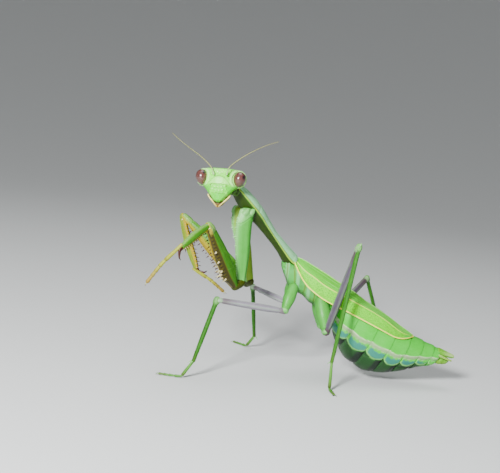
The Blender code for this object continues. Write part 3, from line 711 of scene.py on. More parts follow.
def eye(side, hand):
    """An egg, its long axis upright and leaning out at the top, with a dark false pupil in a halo.

    x, y, z = size·(cos p·cos q, sin q, sin p·cos q), a little fuller towards the top.
    """
    q = np.linspace(-math.pi / 2.0, math.pi / 2.0, 90)[1:-1, None]
    p = (TAU * np.arange(120) / 120)[None, :]
    x = EYE_SIZE[0] * np.cos(q) * np.cos(p) * (1.0 + 0.06 * np.sin(q))
    y = EYE_SIZE[1] * np.sin(q) + 0.0 * p
    z = EYE_SIZE[2] * np.cos(q) * np.sin(p) * (1.0 - 0.10 * np.sin(q)) ** -0.3
    spot = (0.56, 0.72) if hand < 0.0 else (0.74, 0.50)
    far = np.hypot((x - spot[0]) * 1.15, (y - spot[1]) * 0.85)
    pupil = (1.0 - ramp(far, 0.17, 0.36)) * (z > 0.0)
    halo = (1.0 - ramp(far, 0.30, 0.80)) * (z > 0.0)
    rim = ramp(-z, -0.35, 0.2)
    low = ramp(-y, 0.1, 1.2)
    masks = np.stack((0.30 * rim + 0.45 * low, 0.45 * halo, 0.96 * pupil), axis=-1)
    lean = math.radians(-10.0) * hand
    turned_x = x * math.cos(lean) - y * math.sin(lean) + hand * EYE_OFFSET[0]
    turned_y = x * math.sin(lean) + y * math.cos(lean) + EYE_OFFSET[1]
    ball = lattice(world(head_place(), turned_x, turned_y, z + EYE_OFFSET[2]), masks)
    make(f"compound_eye_{side}", ball, EYE, "eye_mauve", f"eye_{side}")


def feeler(side, route):
    """A thread of 34 short joints on two thicker ones, its radius falling from 0.115 to 0.05."""
    place = head_place()
    route = np.array([(x, y, 2.3) for x, y in route])
    root = np.array(((route[0, 0], 1.92, 1.55), (route[0, 0], 2.02, 1.95)))
    way = through(np.concatenate((root, route)), 320)
    t = np.linspace(0.0, 1.0, 320)
    beads = np.cos(TAU * 34.0 * t)
    width = (0.115 - 0.065 * t) * (1.0 + 0.16 * beads)
    width = np.where(t < 0.115, 0.165, width)
    width = np.where(t < 0.075, 0.21, width)
    width = np.minimum(width, 0.03 + 2.6 * t) * np.sqrt(np.clip((1.0 - t) * 60.0, 0.0, 1.0)) + 0.002
    joints = 0.35 * (0.5 - 0.5 * beads) * ramp(t, 0.1, 0.3)
    paint = np.stack((1.0 - ramp(t, 0.08, 0.2), 0.6 * ramp(t, 0.35, 1.0), joints), axis=1)
    thread = tube(world(place, *way.T), width * MM, 12, up=place[1][:, 2], marks=paint)
    make(f"feeler_{side}", thread, FEELER, "feeler", f"antenna_{side}")


# ---------------------------------------------------------------------------------------------------------
# The thorax
# ---------------------------------------------------------------------------------------------------------


def neck():
    """The soft neck, in folds: its radius swings by 0.06 five times on the way."""
    start = HEAD_CENTRE - head_place()[1][:, 2] * 0.9
    end = PROTHORAX_FRONT * 0.94
    length = float(np.linalg.norm(end - start))

    def relief(y, a, x, z):
        return 0.06 * np.sin(TAU * 5.0 * y / length)

    def marks(y, a, x, z):
        # Painted shade: the whole neck is painted near black, darker still in the troughs of its folds.
        return 0.0, 0.15, 0.70 + 0.25 * ramp(np.sin(TAU * 5.0 * y / length), 0.4, -0.6)

    folds = loft(limb_place(start, end, (0.0, 0.0, 1.0)), (
        (0.0, 1.05, -1.15, 0.95), (length * 0.5, 1.00, -1.05, 0.85), (length, 1.05, -1.20, 0.90),
    ), 90, 80, relief, marks)
    make("neck_folds", folds, BODY, "body_green", "neck")


def prothorax():
    """The long first segment.

    The pronotum covers the upper half as a plate: outside the widest line its edge stands out by 0.16 in a
    thin flange, toothed every 0.42 over the front half. A keel runs down the middle, and a groove crosses
    over the hips.
    """
    stations = (
        (-0.15, 0.95, -0.80, 0.60, 0.15), (1.3, 1.35, -1.50, 0.95, 0.12), (3.2, 1.58, -1.90, 1.15, 0.12),
        (5.0, 1.76, -2.00, 1.20, 0.10), (7.0, 1.62, -1.84, 1.05, 0.00), (9.0, 1.22, -1.72, 0.72, -0.25),
        (12.5, 1.02, -1.76, 0.30, -0.60), (15.0, 1.14, -1.95, 0.32, -0.85),
        (17.1, 1.42, -2.30, 0.38, -1.00), (18.4, 1.45, -2.10, 0.25, -0.85),
    )

    def relief(y, a, x, z):
        above = np.sin(a)
        teeth = 0.5 + 0.5 * np.cos(TAU * y / 0.42)
        flange = ridge(above, 0.04, 0.09) * (0.16 + 0.05 * teeth * ramp(-y, -9.5, -6.5))
        keel = 0.07 * ridge(np.cos(a), 0.0, 0.10) * ramp(above, 0.0, 0.5)
        groove = -0.09 * ridge(y - 0.35 * np.abs(np.cos(a)), 5.6, 0.28) * ramp(above, 0.0, 0.4)
        step = -0.10 * ramp(-above, -0.02, 0.12)
        hollow = -0.12 * ridge(above, -0.45, 0.25) * ramp(y, 7.5, 10.0)
        rear = 0.10 * ramp(y, 17.2, 17.8) * ramp(above, -0.1, 0.2)
        grains = 0.006 * np.sin(31.0 * y) * np.sin(9.0 * a + 3.0 * np.sin(7.0 * y)) * ramp(above, 0.1, 0.4)
        return flange + keel + groove + step + hollow + rear + grains

    def marks(y, a, x, z):
        above = np.sin(a)
        crest = ridge(np.cos(a), 0.0, 0.16) * ramp(above, 0.3, 0.7)
        rim = ridge(above, 0.06, 0.07)
        # The pale top and keel are partly the pronotum's own pale blue-green and partly a painted highlight.
        pale = 0.30 * crest + 0.62 * ramp(above, 0.12, 0.35)
        yellow = 0.9 * rim * (1.0 - 0.5 * ridge(above, 0.10, 0.03))
        # Third: painted shade, the whole underside below the yellow rim painted near black.
        return pale, yellow, ramp(-above, 0.0, 0.14) * (1.0 - rim)

    chest = loft(prothorax_place(), stations, 400, 150, relief, marks, blunt=(0.35, 0.25), crowd=0.2)
    make("pronotum", chest, BODY, "body_green", "prothorax")


def thorax():
    """The two hind parts of the thorax as one body: plates parted by slanting seams in the sides."""
    stations = (
        (-1.75, 0.75, -2.20, -0.85, -1.50), (-0.8, 1.35, -3.10, -0.50, -1.80),
        (0.3, 1.66, -4.10, -0.50, -2.10), (1.9, 2.08, -5.40, -0.52, -2.50),
        (4.2, 2.28, -5.35, -0.48, -2.80), (6.4, 2.46, -5.95, -0.66, -3.15),
        (8.8, 2.30, -5.90, -0.95, -3.30), (10.8, 2.40, -6.30, -1.15, -3.60),
    )

    def flank(a):
        return ramp(np.abs(np.cos(a)), 0.25, 0.55)

    def plates(y, z):
        return np.cos(TAU * (y - 0.40 * (-z - 3.0)) / 2.2)

    def seams(y, a, z):
        front = ridge(y - 0.45 * (-z - 3.0), 0.05, 0.13)
        first = ridge(y - 0.55 * (-z - 3.0), 1.55, 0.13)
        second = ridge(y - 0.30 * (-z - 3.0), 3.75, 0.14)
        third = ridge(y - 0.40 * (-z - 4.0), 6.10, 0.14)
        shelf = ridge(z + 0.10 * y, -4.35, 0.12) * ramp(y, 1.5, 1.9)
        return np.clip(first + second + third + front + 0.7 * shelf, 0.0, 1.0) * flank(a)

    def relief(y, a, x, z):
        swell = 0.10 * plates(y, z) * flank(a)
        rows = (0.5 + 0.5 * np.cos(TAU * (z + 0.2 * y) / 0.55)) ** 2
        teeth = 0.30 * rows * ridge(y - 0.45 * (-z - 3.0), -0.75, 0.30) * flank(a)
        return swell + teeth - 0.16 * seams(y, a, z)

    def marks(y, a, x, z):
        lines = seams(y, a, z)
        # Painted highlight: the swell of each side plate is painted paler.
        plate_highlight = ramp(plates(y, z), 0.2, 1.0) * ramp(np.abs(np.cos(a)), 0.3, 0.7)
        # Painted shade: the underside is painted near black.
        under = ramp(-np.sin(a), 0.55, 0.95)
        return 0.35 * plate_highlight, 0.25 * lines * (1.0 - under), np.maximum(0.5 * lines, 0.75 * under)

    body = loft(trunk_place(), stations, 220, 170, relief, marks, blunt=(0.6, 0.6), crowd=0.2)
    make("hind_thorax", body, BODY, "body_green", "mesothorax", "metathorax")


# ---------------------------------------------------------------------------------------------------------
# The wings
# ---------------------------------------------------------------------------------------------------------

WING_LENGTH = 25.3
CREST = (
    (0.0, 0.02), (1.1, 0.20), (1.9, 0.24), (4.0, 0.15), (6.0, 0.04), (8.85, -0.24), (11.6, -0.43),
    (15.4, -1.02), (20.2, -1.52), (22.5, -1.93), (24.1, -2.13), (25.3, -2.36),
)
RADIUS_VEIN = (
    (0.0, 0.9, -0.25), (1.2, 1.30, -0.62), (2.5, 1.90, -0.95), (4.5, 2.40, -1.15), (6.7, 2.80, -1.45),
    (8.5, 3.00, -1.50), (13.0, 3.10, -1.45), (16.0, 3.00, -1.48), (18.4, 2.90, -1.66), (20.7, 2.60, -2.05),
    (22.5, 2.20, -2.40), (23.6, 1.70, -2.48), (24.8, 0.9, -2.42), (25.3, 0.30, -2.38),
)
COSTAL_EDGE = (
    (0.0, 1.30, -0.55), (0.65, 1.90, -0.95), (1.65, 2.40, -1.70), (2.9, 2.90, -2.50), (4.2, 3.30, -3.10),
    (5.7, 3.70, -3.40), (7.4, 4.00, -3.60), (8.8, 4.20, -3.62), (13.0, 4.40, -3.45), (17.7, 4.32, -3.45),
    (19.9, 4.12, -3.48), (21.4, 3.90, -3.50), (22.5, 3.60, -3.32), (23.6, 3.00, -2.95), (24.6, 1.90, -2.55),
    (25.1, 1.00, -2.42), (25.3, 0.34, -2.38),
)


def wing_grid(hand, rows, columns):
    """Rows from base to tip, each from the midline over the radius vein to the outer edge.

    A row passes through four places, of which the second stands a little above the line from the first to
    the third, and is read as a smooth curve of its own share v.
    """
    s = WING_LENGTH * (1.0 - (1.0 - np.linspace(0.0, 1.0, rows)) ** 1.45)
    crest, vein, edge = np.array(CREST), np.array(RADIUS_VEIN), np.array(COSTAL_EDGE)
    top = curve(crest[:, 0], crest[:, 1], s)
    vein_x, vein_z = (curve(vein[:, 0], vein[:, k], s) for k in (1, 2))
    edge_x, edge_z = (curve(edge[:, 0], edge[:, k], s) for k in (1, 2))
    inner = 0.06
    v = np.linspace(0.0, 1.0, columns)
    stops = np.array((0.0, 0.30, 0.58, 1.0))
    xs = np.stack((inner + 0.0 * s, inner + 0.52 * (vein_x - inner), vein_x, edge_x), axis=1)
    zs = np.stack((top, top + 0.34 * (vein_z - top), vein_z, edge_z), axis=1)
    x = np.stack([curve(stops, row, v) for row in xs])
    z = np.stack([curve(stops, row, v) for row in zs])
    return hand * x, np.broadcast_to(s[:, None], x.shape), z, np.broadcast_to(v, x.shape)


def forewing(side, hand):
    """A leathery forewing with its veins as ridges.

    Veins are bells in the share of a row: a pale one down the midline, the yellow radius vein at 0.58,
    the thick outer edge past 0.95, a fine line inside it, and three weak ones between.
    """
    place = trunk_place()
    x, y, z, share = wing_grid(hand, 300, 110)
    radius = ridge(share, 0.58, 0.022)
    edge = ramp(share, 0.945, 0.970)
    inner_line = ridge(share, 0.925, 0.014)
    mid = 1.0 - ramp(share, 0.035, 0.075)
    third = ridge(share, 0.40 - 0.10 * ramp(y, 10.0, 20.0), 0.014) * ramp(y, 5.0, 9.0)
    fourth = ridge(share, 0.50 - 0.06 * ramp(y, 10.0, 20.0), 0.012) * ramp(y, 7.0, 11.0)
    fifth = ridge(share, 0.20, 0.016) * ramp(y, 1.0, 4.0)
    rise = 0.11 * radius + 0.16 * edge + 0.05 * inner_line + 0.05 * mid + 0.045 * (third + fourth + fifth)
    rise = rise - 0.16 * ridge(share, 0.78, 0.16) * ramp(y, 0.0, 1.5)
    overlap = (0.10 if hand > 0.0 else 0.0) * (1.0 - ramp(share, 0.0, 0.25))
    margin = np.clip(0.8 * radius + edge + 0.30 * inner_line + 0.8 * mid * ramp(y, 2.0, 6.0), 0.0, 1.0)
    lines = 0.55 * (third + fourth) + 0.40 * fifth
    field = ramp(share, 0.585, 0.63) * (1.0 - ramp(share, 0.93, 0.96))
    pale = np.clip(0.85 * mid + 0.8 * lines * (share < 0.57), 0.0, 1.0)
    masks = np.stack((margin * (1.0 - mid), field, pale), axis=-1)
    points = world(place, x + hand * 0.45 * rise, y, z + 0.9 * rise + overlap)
    places, quads, fans, paint = lattice(points, masks, ring=False, closed=False)
    face = np.cross(places[quads[:, 1]] - places[quads[:, 0]], places[quads[:, 2]] - places[quads[:, 0]])
    if (face @ place[1][:, 2]).sum() < 0.0:
        quads = quads[:, ::-1]
    make(f"leather_wing_{side}", (places, quads, fans, paint), WING, "wing_green", f"forewing_{side}",
         thickness=0.22)


# ---------------------------------------------------------------------------------------------------------
# The abdomen
# ---------------------------------------------------------------------------------------------------------

SEGMENT_ENDS = np.array((11.0, 14.6, 18.5, 22.0, 25.0, 27.6, 29.8, 31.6))
PLATE_EDGE = np.array((
    (8.0, -4.6), (10.5, -5.2), (13.0, -5.75), (17.0, -6.15), (20.0, -6.00), (23.0, -5.95), (25.8, -5.25),
    (28.5, -4.30), (31.6, -3.30),
))
ABDOMEN_STATIONS = (
    (8.6, 2.10, -5.70, -1.05, -3.30), (10.6, 3.05, -6.90, -1.15, -3.85), (13.4, 3.95, -9.40, -1.42, -4.80),
    (15.2, 4.22, -10.75, -1.62, -5.20), (17.0, 4.36, -11.60, -1.80, -5.50),
    (20.6, 4.32, -12.02, -2.15, -5.60), (22.4, 4.12, -11.50, -2.30, -5.50),
    (24.6, 3.70, -10.40, -2.42, -5.20), (27.0, 2.95, -8.60, -2.40, -4.70),
    (29.4, 2.08, -6.60, -2.30, -4.05), (31.6, 1.35, -5.00, -2.20, -3.50),
)


def along_segments(y):
    """How far y is through its segment, from 0 to 1, and which segment it is."""
    k = np.clip(np.searchsorted(SEGMENT_ENDS, y, side="right"), 1, len(SEGMENT_ENDS) - 1)
    start, end = SEGMENT_ENDS[k - 1], SEGMENT_ENDS[k]
    return np.clip((y - start) / (end - start), 0.0, 1.0), k


def below_lip(y, t, z):
    """How far z is below the scalloped lower edge of the upper plates."""
    scallop = 0.22 * np.sin(math.pi * t) ** 0.7 - 0.10
    return curve(PLATE_EDGE[:, 0], PLATE_EDGE[:, 1], y) - scallop - z


def abdomen_relief(y, a, x, z):
    """Each upper plate laps over the next by 0.13, and under its lip lie a crease, a swell and a fold."""
    t, k = along_segments(y)
    below = below_lip(y, t, z)
    flank = ramp(np.abs(np.cos(a)), 0.12, 0.35)
    lap = 0.13 * ramp(t, 0.05, 0.95) - 0.13 * ramp(t, 0.97, 1.0)
    upper = (1.0 - ramp(below, -0.04, 0.06)) * lap
    lip = 0.10 * ridge(below, -0.05, 0.11) * flank
    crease = -0.16 * ridge(below, 0.62, 0.16) * flank
    joint = -0.20 * (ridge(t, 0.0, 0.05) + ridge(t, 1.0, 0.05)) * ramp(below, 0.4, 0.9)
    patch = 0.10 * np.sin(math.pi * t) ** 0.5 * ramp(below, 0.85, 1.1) * (1.0 - ramp(below, 2.2, 2.5))
    fold = -0.16 * ridge(below, 2.55 + 0.5 * np.abs(t - 0.5), 0.16) * ramp(-np.sin(a), -0.2, 0.1)
    dimple = -0.22 * ridge(t, 0.97, 0.10) * ridge(below, 3.2, 0.55)
    keel = 0.14 * ridge(np.cos(a), 0.0, 0.10) * ramp(-np.sin(a), 0.5, 0.9)
    puff = 0.10 * np.sin(math.pi * t) * ramp(below, 2.7, 3.4)
    return upper + lip + crease + joint + patch + fold + dimple + keel + puff


def abdomen_marks(y, a, x, z):
    """First the white lip and membrane, second the blue patch, third the dark belly, seams and painted
    shadows.
    """
    t, k = along_segments(y)
    below = below_lip(y, t, z)
    flank = ramp(np.abs(np.cos(a)), 0.12, 0.35)
    size = np.interp(k, (1, 2, 3, 4, 5, 6, 7), (1.0, 1.0, 1.0, 0.9, 0.7, 0.45, 0.3))
    under = ramp(below, 0.0, 0.08)
    lip = ridge(below, -0.04, 0.075) * flank
    wander = 0.16 * np.sin(2.3 * y + 1.0) * np.sin(5.1 * y + 0.4)
    membrane = ramp(below, 0.0, 0.06) * (1.0 - ramp(below + wander, 0.42, 0.85)) * flank
    high = 0.80 + 0.15 * np.sin(3.0 * t) + wander
    low = high + 1.45 * size * np.sin(math.pi * (0.12 + 0.80 * t)) ** 0.45 - 0.8 * wander
    patch = ramp(below, high, high + 0.12) * (1.0 - ramp(below, low - 0.12, low))
    patch = patch * ramp(t, 0.04, 0.12) * (1.0 - ramp(t, 0.90, 0.97))
    rim = ridge(below, low + 0.10, 0.16) + 0.6 * ridge(t, 0.94, 0.03) * ramp(below, 0.9, 1.2)
    rim = np.clip(rim, 0.0, 1.0) * under * (1.0 - ramp(below, 2.9, 3.2))
    seam = (ridge(t, 0.0, 0.018) + ridge(t, 1.0, 0.018)) * (1.0 - under)
    seam = seam * ramp(np.abs(np.cos(a)), 0.15, 0.5)
    # The belly's lower plates are their own grey-green, made near black by painted shade.
    belly = ramp(below, low + 0.05, low + 0.35)
    shadow = ridge(t, 0.93, 0.16) * ramp(below, 2.4, 3.0)
    rear = ramp(y, 28.0, 30.5)
    pale = np.clip(0.85 * lip + 0.50 * membrane * (1.0 - 0.5 * rear) + 0.25 * rim, 0.0, 1.0)
    dark = np.clip(0.92 * belly + 0.5 * shadow + 0.25 * seam + 0.30 * membrane, 0.0, 1.0)
    return pale, 0.92 * patch * (1.0 - rear), dark * (1.0 - 0.7 * rear)


def abdomen():
    """The deep abdomen: lapping upper plates over a soft flank with blue patches, and the lower plates."""
    body = loft(trunk_place(), ABDOMEN_STATIONS, 420, 220, abdomen_relief, abdomen_marks, blunt=(0.5, 0.9),
                crowd=0.15)
    make("abdomen_skin", body, ABDOMEN, "abdomen_green", "abdomen")


def tail_plate():
    """The pointed plate over the tail, keeled along its top."""
    def relief(y, a, x, z):
        keel = ridge(np.cos(a), 0.0, 0.12) * ramp(np.sin(a), 0.0, 0.4)
        return 0.06 * keel - 0.05 * ridge(np.sin(a), -0.1, 0.12)

    def marks(y, a, x, z):
        pale = ramp(np.sin(a), -0.1, 0.4) * ramp(y, 31.2, 33.2)
        return 0.75 * pale, 0.0, 0.5 * ridge(np.sin(a), -0.25, 0.12)

    plate = loft(trunk_place(), (
        (30.3, 1.25, -3.30, -2.12, -2.80), (32.0, 0.88, -3.05, -2.02, -2.70),
        (33.2, 0.48, -2.80, -2.00, -2.50), (33.95, 0.20, -2.55, -2.08, -2.34),
    ), 90, 70, relief, marks, blunt=(0.4, 0.25))
    make("tail_point", plate, TAIL, "tail_yellow", "tail_plate")


def tail_valves():
    """The blunt valves under the tail, split along their underside."""
    def relief(y, a, x, z):
        split = ridge(np.cos(a), 0.0, 0.08) * ramp(-np.sin(a), 0.0, 0.5)
        return -0.12 * split + 0.05 * ridge(y, 31.9, 0.2)

    def marks(y, a, x, z):
        under = ramp(-np.sin(a), 0.5, 1.0) * ramp(-y, -31.5, -30.8)
        pale = 0.8 * ridge(np.hypot(y - 33.05, z + 3.15), 0.0, 0.28)
        return pale, 0.25 * ramp(-np.sin(a), -0.3, 0.6), 0.45 * under + 0.35 * ridge(y, 32.25, 0.08)

    valves = loft(trunk_place(), (
        (30.2, 0.95, -5.05, -3.10, -4.00), (31.6, 0.95, -4.85, -3.05, -3.90),
        (32.6, 0.78, -4.45, -3.00, -3.70), (33.4, 0.50, -3.90, -2.95, -3.40),
    ), 90, 80, relief, marks, blunt=(0.4, 0.35))
    make("tail_valves", valves, TAIL, "tail_yellow", "ovipositor")


def cercus(side, hand):
    """A tail feeler of nine beads: its radius falls from 0.30 to 0.14 on a path that curves outwards."""
    t = np.linspace(0.0, 1.0, 120)
    beads = np.abs(np.sin(math.pi * 9.0 * t))
    origin = np.array((hand * 1.15, 30.5, -3.1))
    way = origin + np.stack((hand * 0.62 * t * (1.0 - 0.5 * t), 3.0 * t, 0.25 * t), axis=1)
    width = (0.30 - 0.16 * t) * (0.90 + 0.10 * beads) * np.sqrt(np.clip((1.0 - t) * 14.0, 0.0, 1.0)) + 0.005
    paint = np.stack((0.35 + 0.0 * t, 0.4 * t, 0.35 * (1.0 - beads) ** 3), axis=1)
    thread = tube(world(trunk_place(), *way.T), width * MM, 18, marks=paint)
    make(f"tail_feeler_{side}", thread, TAIL, "tail_yellow", f"cercus_{side}")


# ---------------------------------------------------------------------------------------------------------
# The legs
# ---------------------------------------------------------------------------------------------------------


def outer_side(place, hand):
    """1 where the piece's own X points away from the body, and -1 where it points towards it."""
    return 1.0 if hand * place[1][0, 0] > 0.0 else -1.0


def jointed(path, joints, thick, thin, up=(0.0, 0.0, 1.0), flat=1.0):
    """A foot: a tube whose radius swells from thin to thick before each joint and nips in at it."""
    t = np.linspace(0.0, 1.0, len(path))
    stops = np.asarray(joints)
    k = np.clip(np.searchsorted(stops, t, side="right"), 1, len(stops) - 1)
    share = np.clip((t - stops[k - 1]) / (stops[k] - stops[k - 1]), 0.0, 1.0)
    width = thin + (thick - thin) * share ** 1.3 * (1.0 - 0.35 * t)
    width = width * np.sqrt(np.clip(1.0 - ((share - 0.5) * 2.0) ** 14, 0.0, 1.0)) ** 0.5
    width = np.maximum(width, 0.98 * thin) * np.sqrt(np.clip((1.0 - t) * 30.0, 0.0, 1.0)) + 0.004
    paint = np.stack((0.4 * (1.0 - share), 0.55 * ramp(t, 0.45, 1.0), 0.5 * ramp(share, 0.8, 1.0)), axis=1)
    return tube((path + BACK_EDGE) * MM, width * MM, 16, up=up, marks=paint, flat=flat)


def hooks(tip, ahead, down, length):
    """The two small claws at the end of a foot, spread by 0.45 of their way ahead and bent down."""
    across = unit(np.cross(ahead, down))
    bases = (np.stack((tip + across * 0.10, tip - across * 0.10)) + BACK_EDGE) * MM
    ways = np.stack((unit(ahead + 0.45 * across), unit(ahead - 0.45 * across)))
    return spines(bases, ways, length * MM, 0.075 * MM, bend=0.35, sag=down, rings=9, sides=8, dark=0.35)


def raptor_coxa(side, hand, base, elbow, forward):
    """The coxa: toothed along its front edge, with a slanting collar and two flat lobes at its top."""
    place = limb_place(base, elbow, -forward)
    outer = outer_side(place, hand)
    reach = float(np.linalg.norm(elbow - base))

    def past_collar(y, z):
        return y - 1.15 - 0.75 * np.clip(-z, 0.0, 1.6)

    def relief(y, a, x, z):
        edges = 0.16 * ridge(np.sin(a), -1.0, 0.10) + 0.07 * ridge(np.sin(a), 0.95, 0.12)
        face = -0.10 * ridge(np.sin(a), -0.25, 0.35) * ramp(np.cos(a) * outer, 0.2, 0.8)
        collar = ridge(past_collar(y, z), 0.0, 0.11) * ramp(np.cos(a) * outer, 0.0, 0.4)
        return edges + face * ramp(y, 1.5, 3.0) - 0.11 * collar

    def marks(y, a, x, z):
        top = 1.0 - ramp(past_collar(y, z), -0.2, 0.05)
        pale = 0.28 * ridge(np.sin(a), -1.0, 0.12) + 0.20 * top + 0.10 * ramp(y, 9.5, 12.5)
        back = ridge(np.sin(a), 0.55, 0.12) * ramp(y, 2.0, 5.0)
        return np.clip(pale, 0.0, 1.0), 0.75 * ramp(-np.cos(a) * outer, 0.1, 0.6), 0.25 * back

    coxa = loft(place, (
        (-0.45, 0.85, -1.25, 0.85, -0.2), (0.9, 1.02, -1.60, 0.98, -0.3), (2.4, 0.98, -1.92, 0.82, -0.5),
        (6.8, 0.82, -1.55, 0.92, -0.2), (10.8, 0.64, -0.85, 0.74, 0.0),
        (reach + 0.25, 0.58, -0.62, 0.60, 0.0),
    ), 200, 90, relief, marks, blunt=(0.5, 0.5))
    y = np.linspace(1.4, reach - 1.2, 26)
    z = curve((-0.45, 0.9, 2.4, 6.8, 10.8, reach), (-1.25, -1.60, -1.92, -1.55, -0.85, -0.6), y) - 0.10
    size = np.where(np.arange(len(y)) % 4 == 0, 1.0, 0.6) * MM
    teeth = spines(world(place, 0.05 * outer, y, z), place[1] @ np.array((0.12 * outer, 0.15, -1.0)),
                   0.42 * size, 0.15 * size, dark=2.0)
    roots = world(place, np.array((0.42, 0.55)) * outer, np.array((0.75, 0.55)), np.array((-1.05, 0.10)))
    lobes = spines(roots, place[1] @ np.array((0.35 * outer, -0.75, 0.45)), np.array((1.35, 1.10)) * MM,
                   np.array((0.60, 0.55)) * MM, rings=16, sides=28, domed=True, dark=2.0)
    lobes[3][:, 0] *= 0.30
    make(f"raptor_coxa_{side}", together(coxa, teeth, lobes), HIP, "coxa_green", f"fore_coxa_{side}")


def raptor_trochanter(side, elbow, hip, forward):
    """The small joint between coxa and femur, nipped in just past its middle."""
    bend = float(np.linalg.norm(hip - elbow))

    def relief(y, a, x, z):
        return -0.06 * ridge(y, bend * 0.55, 0.16)

    def marks(y, a, x, z):
        # Painted shade: the whole trochanter is painted near black, as the shade it lies in by the femur.
        return 0.0, 0.3, 0.78

    ball = loft(limb_place(elbow, hip, forward), (
        (-0.75, 0.60, -0.62, 0.62), (bend * 0.5, 0.74, -0.82, 0.80), (bend + 0.75, 0.62, -0.70, 0.66),
    ), 70, 60, relief, marks, blunt=(0.55, 0.55))
    make(f"raptor_trochanter_{side}", ball, RAPTOR, "coxa_green", f"fore_trochanter_{side}")


def femur_spines(side, place, outer, low, length):
    """Four rows under the femur: outer, inner of long and short in turn, middle, and a pair at the knee."""
    turn = place[1]
    y = np.array((3.6, 5.6, 7.6, 9.6))
    outer_row = spines(world(place, 0.52 * outer, y, low(y) + 0.22),
                       turn @ np.array((0.30 * outer, 0.30, -1.0)), np.array((0.75, 0.85, 0.80, 0.70)) * MM,
                       0.17 * MM, bend=0.12, sag=turn[:, 1], dark=0.75)
    y = np.linspace(4.0, 13.2, 15)
    lengths = np.where(np.arange(15) % 2 == 0, 0.70, 0.40) * MM
    inner_row = spines(world(place, -0.50 * outer, y, low(y) + 0.16),
                       turn @ np.array((-0.22 * outer, 0.10, -1.0)), lengths, 0.125 * MM, dark=-0.1)
    y = np.array((2.9, 3.7, 4.6, 5.5))
    middle_row = spines(world(place, (-0.12 + 0.08 * np.arange(4)) * outer, y, low(y) + 0.25),
                        turn @ np.array((0.0, 0.42, -1.0)), np.array((0.8, 1.2, 1.7, 1.1)) * MM,
                        np.array((0.13, 0.17, 0.20, 0.15)) * MM, bend=0.10, sag=turn[:, 1], dark=0.7)
    knee_row = spines(world(place, np.array((0.50, -0.50)) * outer, length - 0.35, -0.30),
                      turn @ np.array((0.0, 0.3, -1.0)), 0.45 * MM, 0.12 * MM, dark=2.0)
    make(f"femur_spines_{side}", together(outer_row, inner_row, middle_row, knee_row), SPINE, "claw_red")


def raptor_femur(side, hand, hip, knee, fold):
    """The deep femur: flat below between two rails, a groove along its outside, and lobes at the knee."""
    place = limb_place(hip, knee, -fold)
    outer = outer_side(place, hand)
    length = float(np.linalg.norm(knee - hip))
    stations = np.array((
        (-0.45, 0.52, -0.62, 0.52, 0.0), (1.2, 0.72, -1.12, 0.85, 0.0), (3.4, 0.88, -1.80, 1.38, 0.0),
        (5.2, 0.90, -1.86, 1.46, 0.05), (7.6, 0.86, -1.64, 1.42, 0.05), (11.5, 0.72, -1.06, 1.14, 0.05),
        (14.0, 0.64, -0.62, 0.84, 0.1), (length + 0.35, 0.48, -0.32, 0.58, 0.1),
    ))

    def low(y):
        return curve(stations[:, 0], stations[:, 2], y)

    def relief(y, a, x, z):
        flat = -0.20 * ridge(np.sin(a), -1.0, 0.22)
        rails = 0.13 * ridge(np.sin(a), -0.86, 0.09)
        groove = -0.07 * ridge(z, 0.45 - 0.02 * y, 0.10) * ramp(np.cos(a) * outer, 0.2, 0.7)
        knee_lobe = 0.14 * ridge(y, length - 0.9, 0.55) * ramp(np.abs(np.cos(a)), 0.3, 0.9)
        nip = -0.07 * ridge(y, length - 1.75, 0.22)
        pit = ridge(y, 5.9, 0.8) * ridge(np.sin(a), -0.9, 0.25) * ramp(-np.cos(a) * outer, -0.3, 0.3)
        return flat + rails + groove + knee_lobe + nip - 0.22 * pit

    def marks(y, a, x, z):
        under = ramp(-np.sin(a), 0.30, 0.46)
        inner = ramp(-np.cos(a) * outer, 0.0, 0.5) * ramp(-np.sin(a), -0.5, 0.3)
        knee_pale = ramp(y, length - 1.9, length - 1.5) * ramp(np.abs(np.cos(a)), 0.2, 0.6)
        line = ridge(y + 0.55 * z, 4.7, 0.07) * ramp(np.cos(a) * outer, 0.2, 0.6)
        step, along = (y * 1.45) % 1.0, ramp(y, 2.5, 3.5)
        beads = ridge(step, 0.5, 0.24) * ridge(np.sin(a), -0.78, 0.10) * along * (0.4 + 0.6 * inner)
        spots = ridge(step, 0.0, 0.16) * ridge(np.sin(a), -0.80, 0.12) * along
        # The underside's brown is partly the femur's own olive brown and partly painted shade.
        brown = under * (1.0 - 0.6 * beads) * (1.0 - 0.75 * inner) * (1.0 - knee_pale)
        pale = 0.35 * knee_pale + 0.16 * line + 0.12 * ridge(np.sin(a), 0.95, 0.08)
        yellow = np.clip(0.80 * inner + 0.75 * under, 0.0, 0.9)
        return np.clip(pale, 0.0, 1.0), yellow, np.clip(0.88 * brown + 0.8 * spots, 0.0, 1.0)

    femur = loft(place, stations, 260, 110, relief, marks, blunt=(0.5, 0.45))
    make(f"raptor_femur_{side}", femur, RAPTOR, "raptor_green", f"fore_femur_{side}")
    femur_spines(side, place, outer, low, length)


